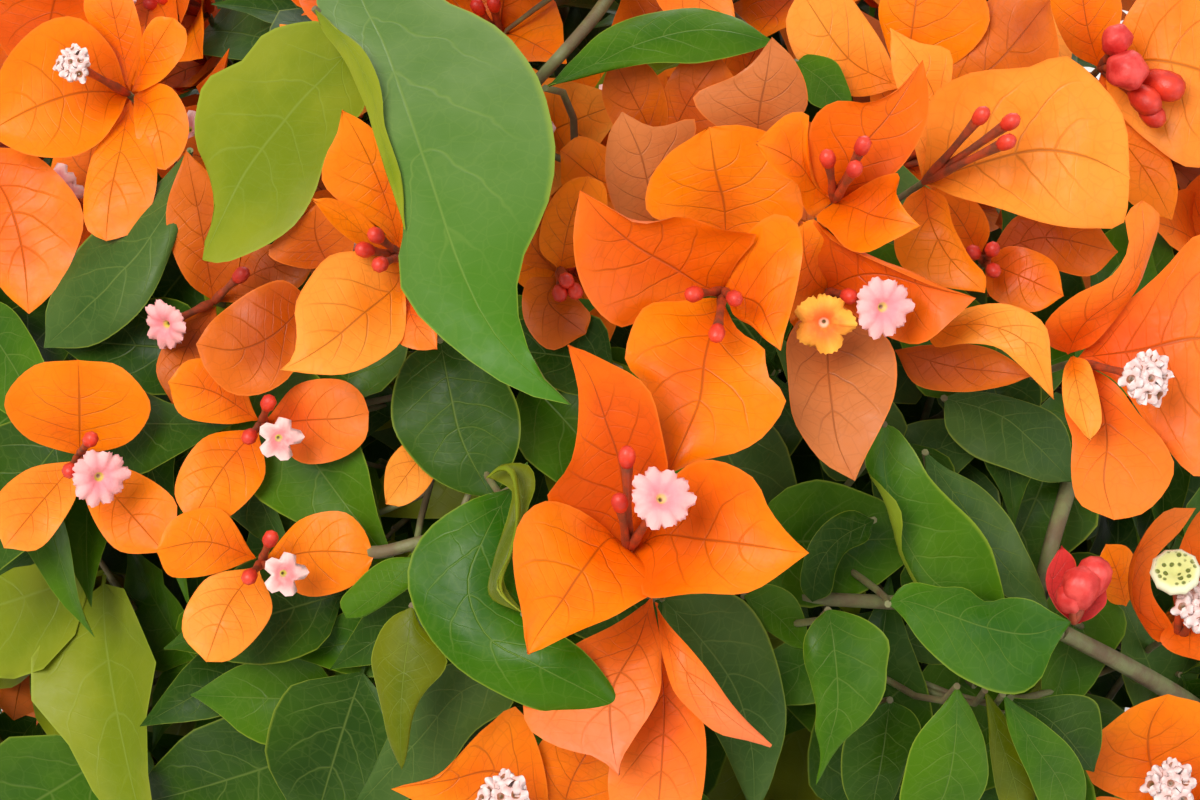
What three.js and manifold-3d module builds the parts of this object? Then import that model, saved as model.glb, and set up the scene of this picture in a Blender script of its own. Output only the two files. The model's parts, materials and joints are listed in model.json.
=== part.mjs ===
// A bougainvillea bush in flower, growing in a square black nursery pot. Millimetres, +Z up.
// The origin is the centre of the pot's flat underside, and the front of the bush faces -Y.
import * as THREE from "three";
import { mergeVertices } from "three/addons/utils/BufferGeometryUtils.js";
import Module from "manifold-3d";

const wasm = await Module();
wasm.setup();

// Driving dimensions
const gap = 0.3; // clearance between neighbouring pieces
const pot = {
  topSide: 170,
  footSide: 126,
  height: 160,
  wall: 2.6,
  floor: 3.2,
  corner: 17,
  rimHeight: 19,
  rimProud: 3.2,
  panels: 4,
  panelDepth: 1.2,
  drainRadius: 6,
};
const soilBelowRim = 9;
const plug = { radius: 31, depth: 46, proud: 11 };
const ground = pot.height - soilBelowRim + plug.proud; // the height at which the trunk leaves the plug
const trunk = { height: 112, footRadius: 8.6, topRadius: 4.8, flare: 3.2, flareHeight: 11 };
const bough = { baseRadius: 3.9, tipRadius: 2.3, tipShare: 0.44 };
const crown = {
  centre: new THREE.Vector3(0, 0, 302),
  reach: 190, // sideways
  rise: 152, // above the centre
  fall: 128, // below the centre
  sites: 132, // shoot tips spread over the outside
  innerSites: 36, // leafy shoots spread further in
  innerShare: 0.76,
  bareShare: 0.53, // no leaf grows nearer the centre than this share of the reach
  bareRadius: 96, // nor this near the trunk, under the crown
  bareTop: -28, // where that bare space ends, from the centre
  skirt: 171, // no leaf hangs lower than this
};
const leafSize = { long: 74, short: 54, width: 0.6 };
const edgeRoom = 20; // how far a shoot stands inside its mass's own space
const bractSize = { long: 47, short: 40, front: 44, width: 0.84 };

// The front of the crown is laid out as it is seen from one place in front of it and above,
// in a picture 1200 wide and 800 high. A place in that picture is given as across and down.
const view = { elevation: 40, distance: 538, width: 1200, height: 800, focal: 2833 };
const insetEdge = { across: 344, down: 400 }; // the rule fills the picture's lower left corner

const degrees = Math.PI / 180;
const goldenAngle = Math.PI * (3 - Math.sqrt(5));
const vector = (x, y, z) => new THREE.Vector3(x, y, z);
const mix = (a, b, share) => a + (b - a) * share;

// Seeded numbers from 0 to 1, the same in every run.
function dice(seed) {
  const modulus = 2147483647;
  let state = (seed * 7919 + 12345) % modulus;
  const roll = () => {
    state = (state * 16807) % modulus;
    return state / modulus;
  };
  roll();
  return roll;
}

// A closed solid from points and faces.
function solid(points, faces) {
  const vertProperties = new Float32Array(points.flatMap((p) => [p.x, p.y, p.z]));
  return new wasm.Manifold(new wasm.Mesh({ numProp: 3, vertProperties, triVerts: new Uint32Array(faces.flat()) }));
}

// A closed solid from one of the library's geometries.
function solidOf(geometry) {
  const bare = new THREE.BufferGeometry().setAttribute("position", geometry.getAttribute("position"));
  bare.setIndex(geometry.index);
  const merged = mergeVertices(bare, 1e-4);
  return new wasm.Manifold(
    new wasm.Mesh({
      numProp: 3,
      vertProperties: merged.getAttribute("position").array,
      triVerts: new Uint32Array(merged.index.array),
    }),
  );
}

const largest = (made) => made.decompose().reduce((a, b) => (b.volume() > a.volume() ? b : a));
const fuse = (pieces) => largest(wasm.Manifold.union(pieces).simplify(0.02));

// A tapering tube round a curve, closed at both ends. The twist turns its corners round it.
function limb(curve, radiusAt, steps, sides, twist = 0) {
  const frames = curve.computeFrenetFrames(steps, false);
  const points = [];
  const faces = [];
  for (let i = 0; i <= steps; i++) {
    const centre = curve.getPointAt(i / steps);
    for (let k = 0; k < sides; k++) {
      const turn = (2 * Math.PI * k) / sides + twist;
      const out = frames.normals[i].clone().multiplyScalar(Math.cos(turn));
      out.addScaledVector(frames.binormals[i], Math.sin(turn));
      points.push(centre.clone().addScaledVector(out, radiusAt(i / steps)));
    }
  }
  for (let i = 0; i < steps; i++)
    for (let k = 0; k < sides; k++) {
      const a = i * sides + k;
      const b = i * sides + ((k + 1) % sides);
      faces.push([a, b, b + sides], [a, b + sides, a + sides]);
    }
  const last = steps * sides;
  for (let k = 1; k < sides - 1; k++) faces.push([0, k + 1, k], [last, last + k, last + k + 1]);
  return solid(points, faces);
}

// Pot

const sideAt = (z) => mix(pot.footSide, pot.topSide, z / pot.height);

// A block with rounded corners whose side grows from low to high.
function taperedBlock(lowZ, highZ, sideOf) {
  const wide = sideOf(highZ);
  const half = wide / 2;
  const round = pot.corner;
  const outline = new THREE.Shape();
  outline.absarc(half - round, half - round, round, 0, Math.PI / 2);
  outline.absarc(round - half, half - round, round, Math.PI / 2, Math.PI);
  outline.absarc(round - half, round - half, round, Math.PI, 1.5 * Math.PI);
  outline.absarc(half - round, round - half, round, 1.5 * Math.PI, 2 * Math.PI);
  const block = new THREE.ExtrudeGeometry(outline, { depth: highZ - lowZ, bevelEnabled: false, curveSegments: 4 });
  const places = block.getAttribute("position");
  for (let i = 0; i < places.count; i++) {
    const z = lowZ + places.getZ(i);
    const share = sideOf(z) / wide;
    places.setXYZ(i, places.getX(i) * share, places.getY(i) * share, z);
  }
  return solidOf(block);
}

// One shallow upright panel, sunk in a wall of the pot below its rim.
function panel(wallIndex, panelIndex) {
  const low = 14;
  const high = pot.height - pot.rimHeight - 7;
  const lean = Math.atan((pot.topSide - pot.footSide) / 2 / pot.height);
  const pitch = (sideAt(low) - 2 * pot.corner) / pot.panels;
  const box = new THREE.BoxGeometry(pitch - 5, 2 * pot.panelDepth, (high - low) / Math.cos(lean));
  box.rotateX(lean);
  box.translate((panelIndex - (pot.panels - 1) / 2) * pitch, -sideAt((low + high) / 2) / 2, (low + high) / 2);
  box.rotateZ((wallIndex * Math.PI) / 2);
  return solidOf(box);
}

function makePot() {
  const body = taperedBlock(0, pot.height, sideAt);
  const rim = taperedBlock(pot.height - pot.rimHeight, pot.height, (z) => sideAt(z) + 2 * pot.rimProud);
  const cuts = [taperedBlock(pot.floor, pot.height + 5, (z) => sideAt(z) - 2 * pot.wall)];
  for (let wall = 0; wall < 4; wall++) for (let k = 0; k < pot.panels; k++) cuts.push(panel(wall, k));
  for (const [x, y] of [[1, 1], [-1, 1], [-1, -1], [1, -1]]) {
    const drain = new THREE.CylinderGeometry(pot.drainRadius, pot.drainRadius, 4 * pot.floor, 8);
    drain.rotateX(Math.PI / 2);
    cuts.push(solidOf(drain.translate(x * 0.29 * pot.footSide, y * 0.29 * pot.footSide, 0)));
  }
  return body.add(rim).subtract(wasm.Manifold.union(cuts));
}

function makePlug(grow) {
  const low = pot.height - soilBelowRim - plug.depth;
  const radius = plug.radius + grow;
  const profile = [
    new THREE.Vector2(0, low - grow),
    new THREE.Vector2(radius * 0.94, low - grow),
    new THREE.Vector2(radius, ground - 2.5 + grow),
    new THREE.Vector2(radius - 2.5, ground + grow),
    new THREE.Vector2(0, ground + grow),
  ];
  return solidOf(new THREE.LatheGeometry(profile, 24).rotateX(Math.PI / 2));
}

function makeSoil() {
  const inside = (z) => sideAt(z) - 2 * pot.wall - 2 * gap;
  return taperedBlock(pot.floor + gap, pot.height - soilBelowRim, inside).subtract(makePlug(gap));
}

// Trunk and boughs

const trunkLine = new THREE.CatmullRomCurve3([
  vector(0, 0, ground - 6),
  vector(0.5, 0, ground + 14),
  vector(4, -1.5, ground + 46),
  vector(-2, 2, ground + 82),
  vector(1, 0, ground + trunk.height),
]);

function trunkRadius(share, grow) {
  const flare = trunk.flare * Math.exp((-share * trunk.height) / trunk.flareHeight);
  return mix(trunk.footRadius, trunk.topRadius, share) + flare + grow;
}

// A slender spine that stands out of a limb.
function thorn(curve, share, turn, length, radius) {
  const foot = curve.getPointAt(share);
  const along = curve.getTangentAt(share);
  const out = vector(Math.cos(turn), Math.sin(turn), 0);
  out.addScaledVector(along, -out.dot(along)).normalize();
  const tip = foot.clone().addScaledVector(out, radius + length).addScaledVector(along, 0.25 * length);
  return limb(new THREE.LineCurve3(foot, tip), (t) => mix(1.5, 0.25, t), 1, 3);
}

function makeTrunk(grow) {
  const stem = limb(trunkLine, (t) => trunkRadius(t, grow), 14, 10);
  const under = new THREE.BoxGeometry(60, 60, 40).translate(0, 0, ground + gap - 20);
  if (grow) return stem;
  const thorns = [0.3, 0.42, 0.55, 0.7].map((t, i) => thorn(trunkLine, t, 2.4 * i + 0.9, 10, trunkRadius(t, 0)));
  return fuse([stem, ...thorns]).subtract(solidOf(under));
}

// How far the crown reaches from its centre in a direction.
function reachTo(direction) {
  const across = (direction.x ** 2 + direction.y ** 2) / crown.reach ** 2;
  const upright = direction.z ** 2 / (direction.z > 0 ? crown.rise : crown.fall) ** 2;
  return 1 / Math.sqrt(across + upright);
}

const direction = (turn, elevation) =>
  vector(Math.cos(elevation) * Math.cos(turn), Math.cos(elevation) * Math.sin(turn), Math.sin(elevation));
const inCrown = (way, share) => crown.centre.clone().addScaledVector(way, reachTo(way) * share);

// Each mass of foliage has a bough of its own. Turns are counted from the front. A bough leaves the trunk
// at a share of its upper part's height, and neighbours leave it two steps apart.
const masses = [];
function addMass(name, turn, elevation, leaves) {
  const way = direction((turn - 90) * degrees, elevation * degrees);
  masses.push({ name, way, seed: inCrown(way, 0.8), hub: inCrown(way, bough.tipShare), leaves });
}
[0, 80, 148, -148, -80].forEach((turn, i) => addMass(`upper_${i + 1}`, turn, 40, 0.62 + 0.085 * ((2 * i) % 5)));
[40, 108, 180, -108, -40].forEach((turn, i) => addMass(`lower_${i + 1}`, turn, -9, 0.2 + 0.085 * ((2 * i) % 5)));
addMass("top", 0, 90, 1);

// A bough leaves the trunk steeply and arches over to its mass.
function boughLine(mass) {
  const foot = trunkLine.getPointAt(mix(0.28, 1, mass.leaves) - (mass.leaves === 1 ? 0 : 0.06));
  const lower = mass.way.z < 0;
  const mid = foot.clone().lerp(mass.hub, 0.45);
  mid.z += lower ? 6 : -4;
  return new THREE.CatmullRomCurve3([foot, mid, mass.hub]);
}

function makeBough(mass) {
  const line = boughLine(mass);
  const made = limb(line, (t) => mix(bough.baseRadius, bough.tipRadius, t), 6, 6);
  const thorns = [0.45, 0.7].map((t, i) => thorn(line, t, 2.4 * i + 5 * mass.leaves, 7, bough.tipRadius));
  return largest(fuse([made, ...thorns]).subtract(makeTrunk(gap)));
}

// Foliage

const eyeWay = direction(-90 * degrees, view.elevation * degrees);
const eye = inCrown(eyeWay, 1).addScaledVector(eyeWay, view.distance);
const picture = {
  right: vector(1, 0, 0),
  up: vector(0, Math.sin(view.elevation * degrees), Math.cos(view.elevation * degrees)),
};

// The way of the line of sight through a place in the picture.
function sightWay(across, down) {
  const line = eyeWay.clone().multiplyScalar(-view.focal);
  line.addScaledVector(picture.right, across - view.width / 2);
  return line.addScaledVector(picture.up, view.height / 2 - down).normalize();
}

// Where a line of sight is a given depth in front of the eye.
function seenAtDepth(across, down, depth) {
  const line = sightWay(across, down);
  return eye.clone().addScaledVector(line, -depth / line.dot(eyeWay));
}

// Where a line of sight meets the crown, moved nearer the eye by lift.
function seenAt(across, down, lift) {
  const line = sightWay(across, down);
  const stretch = vector(1 / crown.reach, 1 / crown.reach, 1 / crown.rise);
  const from = eye.clone().sub(crown.centre).multiply(stretch);
  const along = line.clone().multiply(stretch);
  const a = along.dot(along);
  const b = from.dot(along);
  const root = Math.sqrt(Math.max(b * b - a * (from.dot(from) - 1), 0));
  return eye.clone().addScaledVector(line, (-b - root) / a - lift);
}

// Where a point shows in the picture.
function shownAt(point) {
  const from = point.clone().sub(eye);
  const depth = -from.dot(eyeWay) / view.focal;
  return {
    across: view.width / 2 + from.dot(picture.right) / depth,
    down: view.height / 2 - from.dot(picture.up) / depth,
  };
}

// A direction in the picture, turned anticlockwise from its right, and leaning towards the eye.
function pictureWay(turn, lean) {
  const flat = picture.right.clone().multiplyScalar(Math.cos(turn * degrees));
  flat.addScaledVector(picture.up, Math.sin(turn * degrees));
  return flat.multiplyScalar(Math.cos(lean * degrees)).addScaledVector(eyeWay, Math.sin(lean * degrees));
}

// Leaves or bracts that stand round an axis and share one root. Each arm gives the turn round the axis and
// the angle above the plane across it at which the blade sets off, its length and width, how far its edges
// are folded up and how far its tip bends back.
function whorl(root, axis, first, arms) {
  const start = first.clone().addScaledVector(axis, -first.dot(axis)).normalize();
  const cross = axis.clone().cross(start);
  const outward = (turn) => start.clone().multiplyScalar(Math.cos(turn)).addScaledVector(cross, Math.sin(turn));
  const sorted = [...arms].sort((a, b) => a.turn - b.turn);
  const nextTurn = (i) => (i + 1 < sorted.length ? sorted[i + 1].turn : sorted[0].turn + 2 * Math.PI);
  const lastTurn = (i) => (i > 0 ? sorted[i - 1].turn : sorted[sorted.length - 1].turn - 2 * Math.PI);
  const edge = sorted.flatMap(({ turn, rise, length, width: full, fold, droop }, i) => {
    const room = Math.min(nextTurn(i) - turn, turn - lastTurn(i), 2.6) / 2;
    const width = Math.min(full, 2 * 0.42 * length * Math.cos(rise) * Math.tan(0.92 * room));
    const along = outward(turn).multiplyScalar(Math.cos(rise)).addScaledVector(axis, Math.sin(rise));
    const side = axis.clone().cross(outward(turn));
    const face = along.clone().cross(side);
    const at = (share, out, lift) =>
      root.clone().addScaledVector(along, share * length).addScaledVector(side, out).addScaledVector(face, lift);
    return [
      at(0.42, -width / 2, (fold * width) / 2),
      at(1, 0, -droop * length),
      at(0.42, width / 2, (fold * width) / 2),
      root.clone().addScaledVector(outward((turn + nextTurn(i)) / 2), 0.07 * length),
    ];
  });
  const thick = 0.045 * arms[0].length;
  const points = [root.clone().addScaledVector(axis, thick), root.clone().addScaledVector(axis, -thick), ...edge];
  const faces = [];
  for (let i = 0; i < edge.length; i++) {
    const a = i + 2;
    const b = ((i + 1) % edge.length) + 2;
    faces.push([0, a, b], [1, b, a]);
  }
  return { points, box: new THREE.Box3().setFromPoints(points), body: solid(points, faces) };
}

const bractArm = (turn, length) => ({
  turn,
  rise: 0.62,
  length,
  width: bractSize.width * length,
  fold: -0.1,
  droop: 0.14,
});

const leafArm = (turn, length, width) => ({ turn, rise: 0.3, length, width, fold: 0.3, droop: 0.16 });

// A flower's three bracts.
const bracts = (root, axis, first, length) =>
  whorl(root, axis, first, [0, 1, 2].map((k) => bractArm((k * 2 * Math.PI) / 3, length)));

const massOf = (point) =>
  masses.reduce((a, b) => (b.seed.distanceToSquared(point) < a.seed.distanceToSquared(point) ? b : a));

// How far inside its mass's own space a point lies.
function inside(mass, point) {
  const own = mass.seed.distanceToSquared(point);
  const planes = masses
    .filter((other) => other !== mass)
    .map((other) => (other.seed.distanceToSquared(point) - own) / 2 / other.seed.distanceTo(mass.seed));
  return Math.min(...planes);
}

// True where no limb can be, and where a leaf hangs neither too low nor in a neighbour's space.
function hasRoom(mass, point) {
  const from = point.clone().sub(crown.centre);
  if (point.z < crown.skirt) return false;
  if (from.z < crown.bareTop && Math.hypot(from.x, from.y) < crown.bareRadius) return false;
  if (from.length() < crown.bareShare * reachTo(from.clone().normalize())) return false;
  return inside(mass, point) > gap;
}

const fits = (mass, made) => made.points.every((point) => hasRoom(mass, point));

// The flowers that show at the front. The hub and the bracts' tips are given as across and down in the
// picture. The lift brings the hub nearer the eye than the crown's surface, the axis leans away from the
// eye by lean degrees towards a turn in the picture, and a tip's last number says how far it comes
// towards the eye, as a share of what the bract's length leaves for that.
const frontFlowers = [
  { hub: [652, 597], lift: 26, lean: 44, towards: 92, tips: [[572, 345, -0.1], [528, 653, 0.6], [808, 553, 0.6]] },
  { hub: [716, 318], lift: 26, lean: 22, towards: 60, tips: [[580, 190, 0.1], [680, 472, 0.3], [790, 342, 0.6]] },
  { hub: [862, 330], lift: 14, lean: 36, towards: 290, tips: [[854, 481, 0.3], [976, 298, 0.3], [812, 226, -0.2]] },
  { hub: [832, 199], lift: 24, lean: 34, towards: 40, tips: [[921, 226, 0.5], [944, 52, -0.1], [756, 143, 0.5]] },
  { hub: [925, 184], lift: 12, lean: 48, towards: 30, tips: [[1130, 168, 0.3], [986, 292, 0.5], [968, 22, -0.3]] },
  { hub: [722, 238], lift: 4, lean: 40, towards: 110, tips: [[704, 126, 0.3], [612, 114, 0.2], [806, 176, 0.3]] },
  { hub: [752, 152], lift: -4, lean: 40, towards: 90, tips: [[776, 36, 0.3], [666, 66, 0.2], [838, 98, -0.3]] },
  { hub: [868, 104], lift: -6, lean: 40, towards: 80, tips: [[806, 12, 0.3], [886, -34, 0.3], [960, 70, -0.3]] },
  { hub: [1072, 358], lift: 22, lean: 38, towards: 345, tips: [[1118, 520, 0.3], [1178, 212, 0.3], [1232, 440, 0.4]] },
  { hub: [1166, 616], lift: 6, lean: 24, towards: 60, tips: [[1124, 560, 0.9], [1206, 518, 0.6], [1232, 664, 0.6]] },
  { hub: [1168, 802], lift: 6, lean: 30, towards: 100, tips: [[1084, 796, 0.7], [1158, 694, 0.6], [1240, 742, 0.6]] },
  { hub: [1134, 76], lift: -2, lean: 46, towards: 20, tips: [[1112, -42, 0.3], [1232, 12, 0.3], [1184, 172, 0.4]] },
  { hub: [127, 104], lift: 10, lean: 42, towards: 150, tips: [[106, 240, 0.4], [-12, 84, 0.5], [172, 10, 0.5]] },
  { hub: [16, 168], lift: 0, lean: 36, towards: 230, tips: [[28, 316, 0.4], [-96, 206, 0.3], [70, 96, -0.4]] },
  { hub: [80, 452], lift: 0, lean: 34, towards: 80, tips: [[82, 356, 0.7], [-20, 480, 0.4], [176, 480, 0.4]] },
  { hub: [404, 252], lift: 16, lean: 36, towards: 170, tips: [[343, 110, 0.2], [281, 368, 0.4], [448, 346, 0.2]] },
  { hub: [302, 312], lift: -8, lean: 34, towards: 190, tips: [[204, 384, 0.2], [262, 226, 0.3], [352, 420, 0.2]] },
  { hub: [655, 604], lift: 12, lean: 70, towards: 262, tips: [[618, 771, 0.5], [768, 745, 0.5], [560, 668, -0.3]] },
  { hub: [556, 812], lift: 0, lean: 40, towards: 110, tips: [[394, 790, 0.3], [512, 704, 0.3], [612, 716, 0.1]] },
  { hub: [650, 826], lift: -6, lean: 40, towards: 70, tips: [[648, 700, 0.3], [720, 762, 0.3], [574, 742, 0.2]] },
  { hub: [1010, 366], lift: -6, lean: 40, towards: 320, tips: [[1052, 386, 0.6], [930, 436, 0.2], [1000, 262, 0.2]] },
  { hub: [560, 236], lift: -16, lean: 30, towards: 120, tips: [[524, 120, 0.3], [620, 330, 0.2], [470, 300, 0.2]] },
  { hub: [556, 352], lift: -12, lean: 30, towards: 200, tips: [[520, 440, 0.3], [590, 262, 0.2], [640, 400, -0.2]] },
  { hub: [258, 14], lift: -2, lean: 40, towards: 100, tips: [[160, -10, 0.3], [330, 6, 0.3], [250, -90, 0.2]] },
  { hub: [520, 24], lift: -8, lean: 40, towards: 90, tips: [[452, -20, 0.3], [590, 96, 0.2], [570, -60, 0.2]] },
];

// The leaves that show at the front: root and tip in the picture, the lift of each, the width as a share
// of the length, and how far the blade leans away from the eye, and towards which turn.
const frontLeaves = [
  { root: [318, -62], tip: [566, 405], lift: 34, tipLift: 46, width: 0.4, lean: 20, towards: 30 },
  { root: [352, 44], tip: [213, 260], lift: 22, tipLift: 16, width: 0.62, lean: 24, towards: 150 },
  { root: [436, 346], tip: [494, 500], lift: 2, tipLift: 0, width: 0.66, lean: 30, towards: 180 },
  { root: [492, 496], tip: [627, 712], lift: 20, tipLift: 22, width: 0.72, lean: 16, towards: 240 },
  { root: [540, 470], tip: [508, 612], lift: 12, tipLift: 18, width: 0.3, lean: 40, towards: 0 },
  { root: [414, 606], tip: [401, 769], lift: 12, tipLift: 12, width: 0.46, lean: 20, towards: 200 },
  { root: [506, 674], tip: [346, 806], lift: 2, tipLift: -6, width: 0.48, lean: 26, towards: 240 },
  { root: [412, 562], tip: [330, 624], lift: 2, tipLift: 0, width: 0.42, lean: 22, towards: 120 },
  { root: [660, 602], tip: [764, 812], lift: -2, tipLift: -8, width: 0.48, lean: 24, towards: 40 },
  { root: [746, 588], tip: [803, 650], lift: 0, tipLift: 2, width: 0.56, lean: 18, towards: 300 },
  { root: [846, 608], tip: [818, 783], lift: 16, tipLift: 18, width: 0.5, lean: 10, towards: 300 },
  { root: [884, 430], tip: [1002, 602], lift: 12, tipLift: 14, width: 0.48, lean: 28, towards: 30 },
  { root: [944, 470], tip: [1038, 640], lift: 0, tipLift: 0, width: 0.42, lean: 26, towards: 30 },
  { root: [897, 600], tip: [1070, 622], lift: 18, tipLift: 16, width: 0.54, lean: 18, towards: 70 },
  { root: [880, 700], tip: [900, 836], lift: 6, tipLift: 2, width: 0.62, lean: 20, towards: 250 },
  { root: [962, 690], tip: [904, 826], lift: 16, tipLift: 14, width: 0.5, lean: 20, towards: 200 },
  { root: [1006, 694], tip: [1094, 772], lift: 10, tipLift: 8, width: 0.5, lean: 22, towards: 100 },
  { root: [1000, 700], tip: [1076, 836], lift: 14, tipLift: 8, width: 0.42, lean: 24, towards: 330 },
  { root: [545, 84], tip: [773, 40], lift: 10, tipLift: 4, width: 0.34, lean: 26, towards: 90 },
  { root: [796, 58], tip: [850, 112], lift: 2, tipLift: 4, width: 0.6, lean: 24, towards: 60 },
  { root: [944, 396], tip: [1072, 480], lift: -8, tipLift: -14, width: 0.44, lean: 34, towards: 330 },
  { root: [188, 168], tip: [60, 350], lift: -2, tipLift: -10, width: 0.46, lean: 30, towards: 220 },
  { root: [880, 512], tip: [786, 604], lift: -4, tipLift: -4, width: 0.46, lean: 24, towards: 200 },
  { root: [-30, 300], tip: [44, 420], lift: -4, tipLift: -6, width: 0.5, lean: 24, towards: 250 },
];

// Every blade that has been placed, so that the next ones keep off it.
const placed = [];
const touches = (a, b) => a.box.intersectsBox(b.box) && !a.body.intersect(b.body).isEmpty();
const isFree = (made) => !placed.some((other) => touches(made, other));

function place(shoot, made) {
  placed.push(made);
  shoot.blades.push(made);
}

// An arm of a whorl at a root that reaches to a tip.
function armTo(root, axis, first, tip, shape) {
  const reach = tip.clone().sub(root);
  const start = first.clone().addScaledVector(axis, -first.dot(axis)).normalize();
  const turn = Math.atan2(reach.dot(axis.clone().cross(start)), reach.dot(start));
  const length = reach.length();
  return { ...shape, turn, rise: Math.asin(reach.dot(axis) / length), length };
}

// The tip of a front flower's bract. What its length leaves over is spent towards the eye.
function bractTip(root, [across, down, share]) {
  const depth = eye.clone().sub(root).dot(eyeWay);
  const flat = seenAtDepth(across, down, depth);
  const left = bractSize.front ** 2 - flat.distanceToSquared(root);
  return seenAtDepth(across, down, depth - share * Math.sqrt(Math.max(left, 0)));
}

// A shoot of the arms that keep to its mass's own space and off what has grown.
function shootOf(root, axis, first, arms) {
  const mass = massOf(root.clone().addScaledVector(axis, 6));
  const kept = arms.filter((arm) => {
    const made = whorl(root, axis, first, [arm]);
    return fits(mass, made) && isFree(made);
  });
  const shoot = { mass, root, blades: [] };
  if (kept.length) place(shoot, whorl(root, axis, first, kept));
  return shoot;
}

// A front leaf on a shoot of its own, shifted towards the eye.
function frontLeaf({ root: from, tip: to, lift, tipLift, width, lean, towards }, shift) {
  const root = seenAt(...from, lift + shift);
  const along = seenAt(...to, tipLift + shift).sub(root);
  const length = along.length();
  const up = pictureWay(towards, 90 - lean);
  const axis = up.addScaledVector(along, -up.dot(along) / length ** 2).normalize();
  return shootOf(root, axis, along, [{ ...leafArm(0, length, width * length), rise: 0, droop: 0.06 }]);
}

// The flowers and leaves of the front. A leaf that finds no room tries again nearer or further.
function frontShoots() {
  const flowers = frontFlowers.map(({ hub, lift, lean, towards, tips }) => {
    const axis = pictureWay(towards, 90 - lean);
    const root = seenAt(...hub, lift);
    const shape = { ...bractArm(0, bractSize.front), droop: 0.1 };
    const arms = tips.map((tip) => armTo(root, axis, picture.right, bractTip(root, tip), shape));
    return shootOf(root, axis, picture.right, arms);
  });
  const leaves = frontLeaves.map((leaf) =>
    [6, -6, 12, -12].reduce((shoot, shift) => (shoot.blades.length ? shoot : frontLeaf(leaf, shift)), frontLeaf(leaf, 0)),
  );
  return [...flowers, ...leaves];
}

// True where the front flowers and leaves take the place of those that the rule would grow.
function atFront(point) {
  if (point.clone().sub(crown.centre).dot(eyeWay) < 0) return false;
  const { across, down } = shownAt(point);
  if (across < -30 || across > view.width + 30 || down < -30 || down > view.height + 30) return false;
  return across > insetEdge.across || down < insetEdge.down;
}

// Spreads shoots over the crown by the golden angle. Each leans a little its own way, and one too near
// its neighbours' space stands further in.
function ruledShoots(count, share, seed, flowers) {
  const lowest = -0.62;
  const shoots = [];
  for (let i = 0; i < count; i++) {
    const roll = dice(seed + i);
    const height = 1 - ((i + 0.5) / count) * (1 - lowest);
    const way = direction(i * goldenAngle, Math.asin(height));
    const tip = inCrown(way, share * mix(0.93, 1.04, roll()));
    const bloom = flowers && roll() < mix(0.5, 0.78, (height + 0.6) / 1.6);
    const lean = vector(roll() - 0.5, roll() - 0.5, roll() - 0.2).multiplyScalar(0.7);
    const out = way.clone().add(lean).normalize();
    if (flowers && atFront(tip)) continue;
    const root = tip.addScaledVector(out, bloom ? -24 : -14);
    const mass = massOf(root);
    const inward = mass.seed.clone().sub(root).normalize();
    root.addScaledVector(inward, Math.max(0, edgeRoom - inside(mass, root)));
    shoots.push({ mass, root, out, bloom, roll, blades: [] });
  }
  return shoots;
}

// Tries a flower, ever smaller and turned further in, until it fits its mass's own space.
function growFlower(shoot) {
  const { mass, root, out, roll } = shoot;
  const turn = roll() * 2 * Math.PI;
  const size = mix(bractSize.short, bractSize.long, roll());
  const first = vector(Math.cos(turn), Math.sin(turn), 0.3);
  const inward = mass.seed.clone().sub(root);
  inward.addScaledVector(out, -inward.dot(out)).normalize();
  for (const [share, pull] of [[1, 0], [1, 0.3], [0.95, 0.6], [0.9, 0.9], [0.84, 0.3]]) {
    const axis = out.clone().addScaledVector(inward, pull).normalize();
    const made = bracts(root, axis, first, size * share);
    if (!fits(mass, made) || !isFree(made)) continue;
    place(shoot, made);
    return;
  }
}

// Leaves stand round a shoot, and each may swing a little or stay shorter to find room.
function growLeaves(shoot, count) {
  const { mass, root, out, roll } = shoot;
  const foot = root.clone().addScaledVector(out, shoot.blades.length ? -7 : 0);
  const first = vector(0.1, 0.1, 1);
  const start = roll() * 2 * Math.PI;
  const swing = Math.PI / count - 0.64;
  const arms = [];
  for (let k = 0; k < count; k++) {
    const length = mix(leafSize.short, leafSize.long, roll());
    for (const [way, share] of [[0, 1], [1, 1], [-1, 1], [0.5, 0.8], [-0.5, 0.8], [0, 0.62]]) {
      const turn = start + (k * 2 * Math.PI) / count + way * swing;
      const arm = leafArm(turn, length * share, length * share * leafSize.width);
      const made = whorl(foot, out, first, [arm]);
      if (!fits(mass, made) || !isFree(made)) continue;
      arms.push(arm);
      break;
    }
  }
  if (arms.length) place(shoot, whorl(foot, out, first, arms));
}

function growShoots() {
  const shoots = frontShoots();
  const outer = ruledShoots(crown.sites, 0.97, 100, true);
  for (const shoot of outer) if (shoot.bloom) growFlower(shoot);
  for (const shoot of outer) growLeaves(shoot, shoot.blades.length ? 3 : 4);
  const inner = ruledShoots(crown.innerSites, crown.innerShare, 900, false);
  for (const shoot of inner) growLeaves(shoot, 3);
  return [...shoots, ...outer, ...inner];
}

// A twig from a fork to a shoot's root. It sets off the way its parent runs, and bends to the root.
function twigBetween(mass, fork, root) {
  const length = fork.point.distanceTo(root);
  const bend = fork.point.clone().addScaledVector(fork.way, 0.35 * length);
  if (inside(mass, bend) < 3) bend.copy(fork.point).lerp(root, 0.4);
  const sunk = fork.point.clone().addScaledVector(fork.way, -1 - 0.37 * fork.twigs);
  const line = new THREE.QuadraticBezierCurve3(sunk, bend, root);
  const radius = fork.radius * (0.93 - 0.04 * fork.twigs);
  const body = limb(line, () => radius, length > 34 ? 2 : 1, 3, 0.7 + fork.twigs);
  const points = [sunk, bend, root];
  return { fork, line, length, radius, body, box: new THREE.Box3().setFromPoints(points).expandByScalar(radius) };
}

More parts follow.
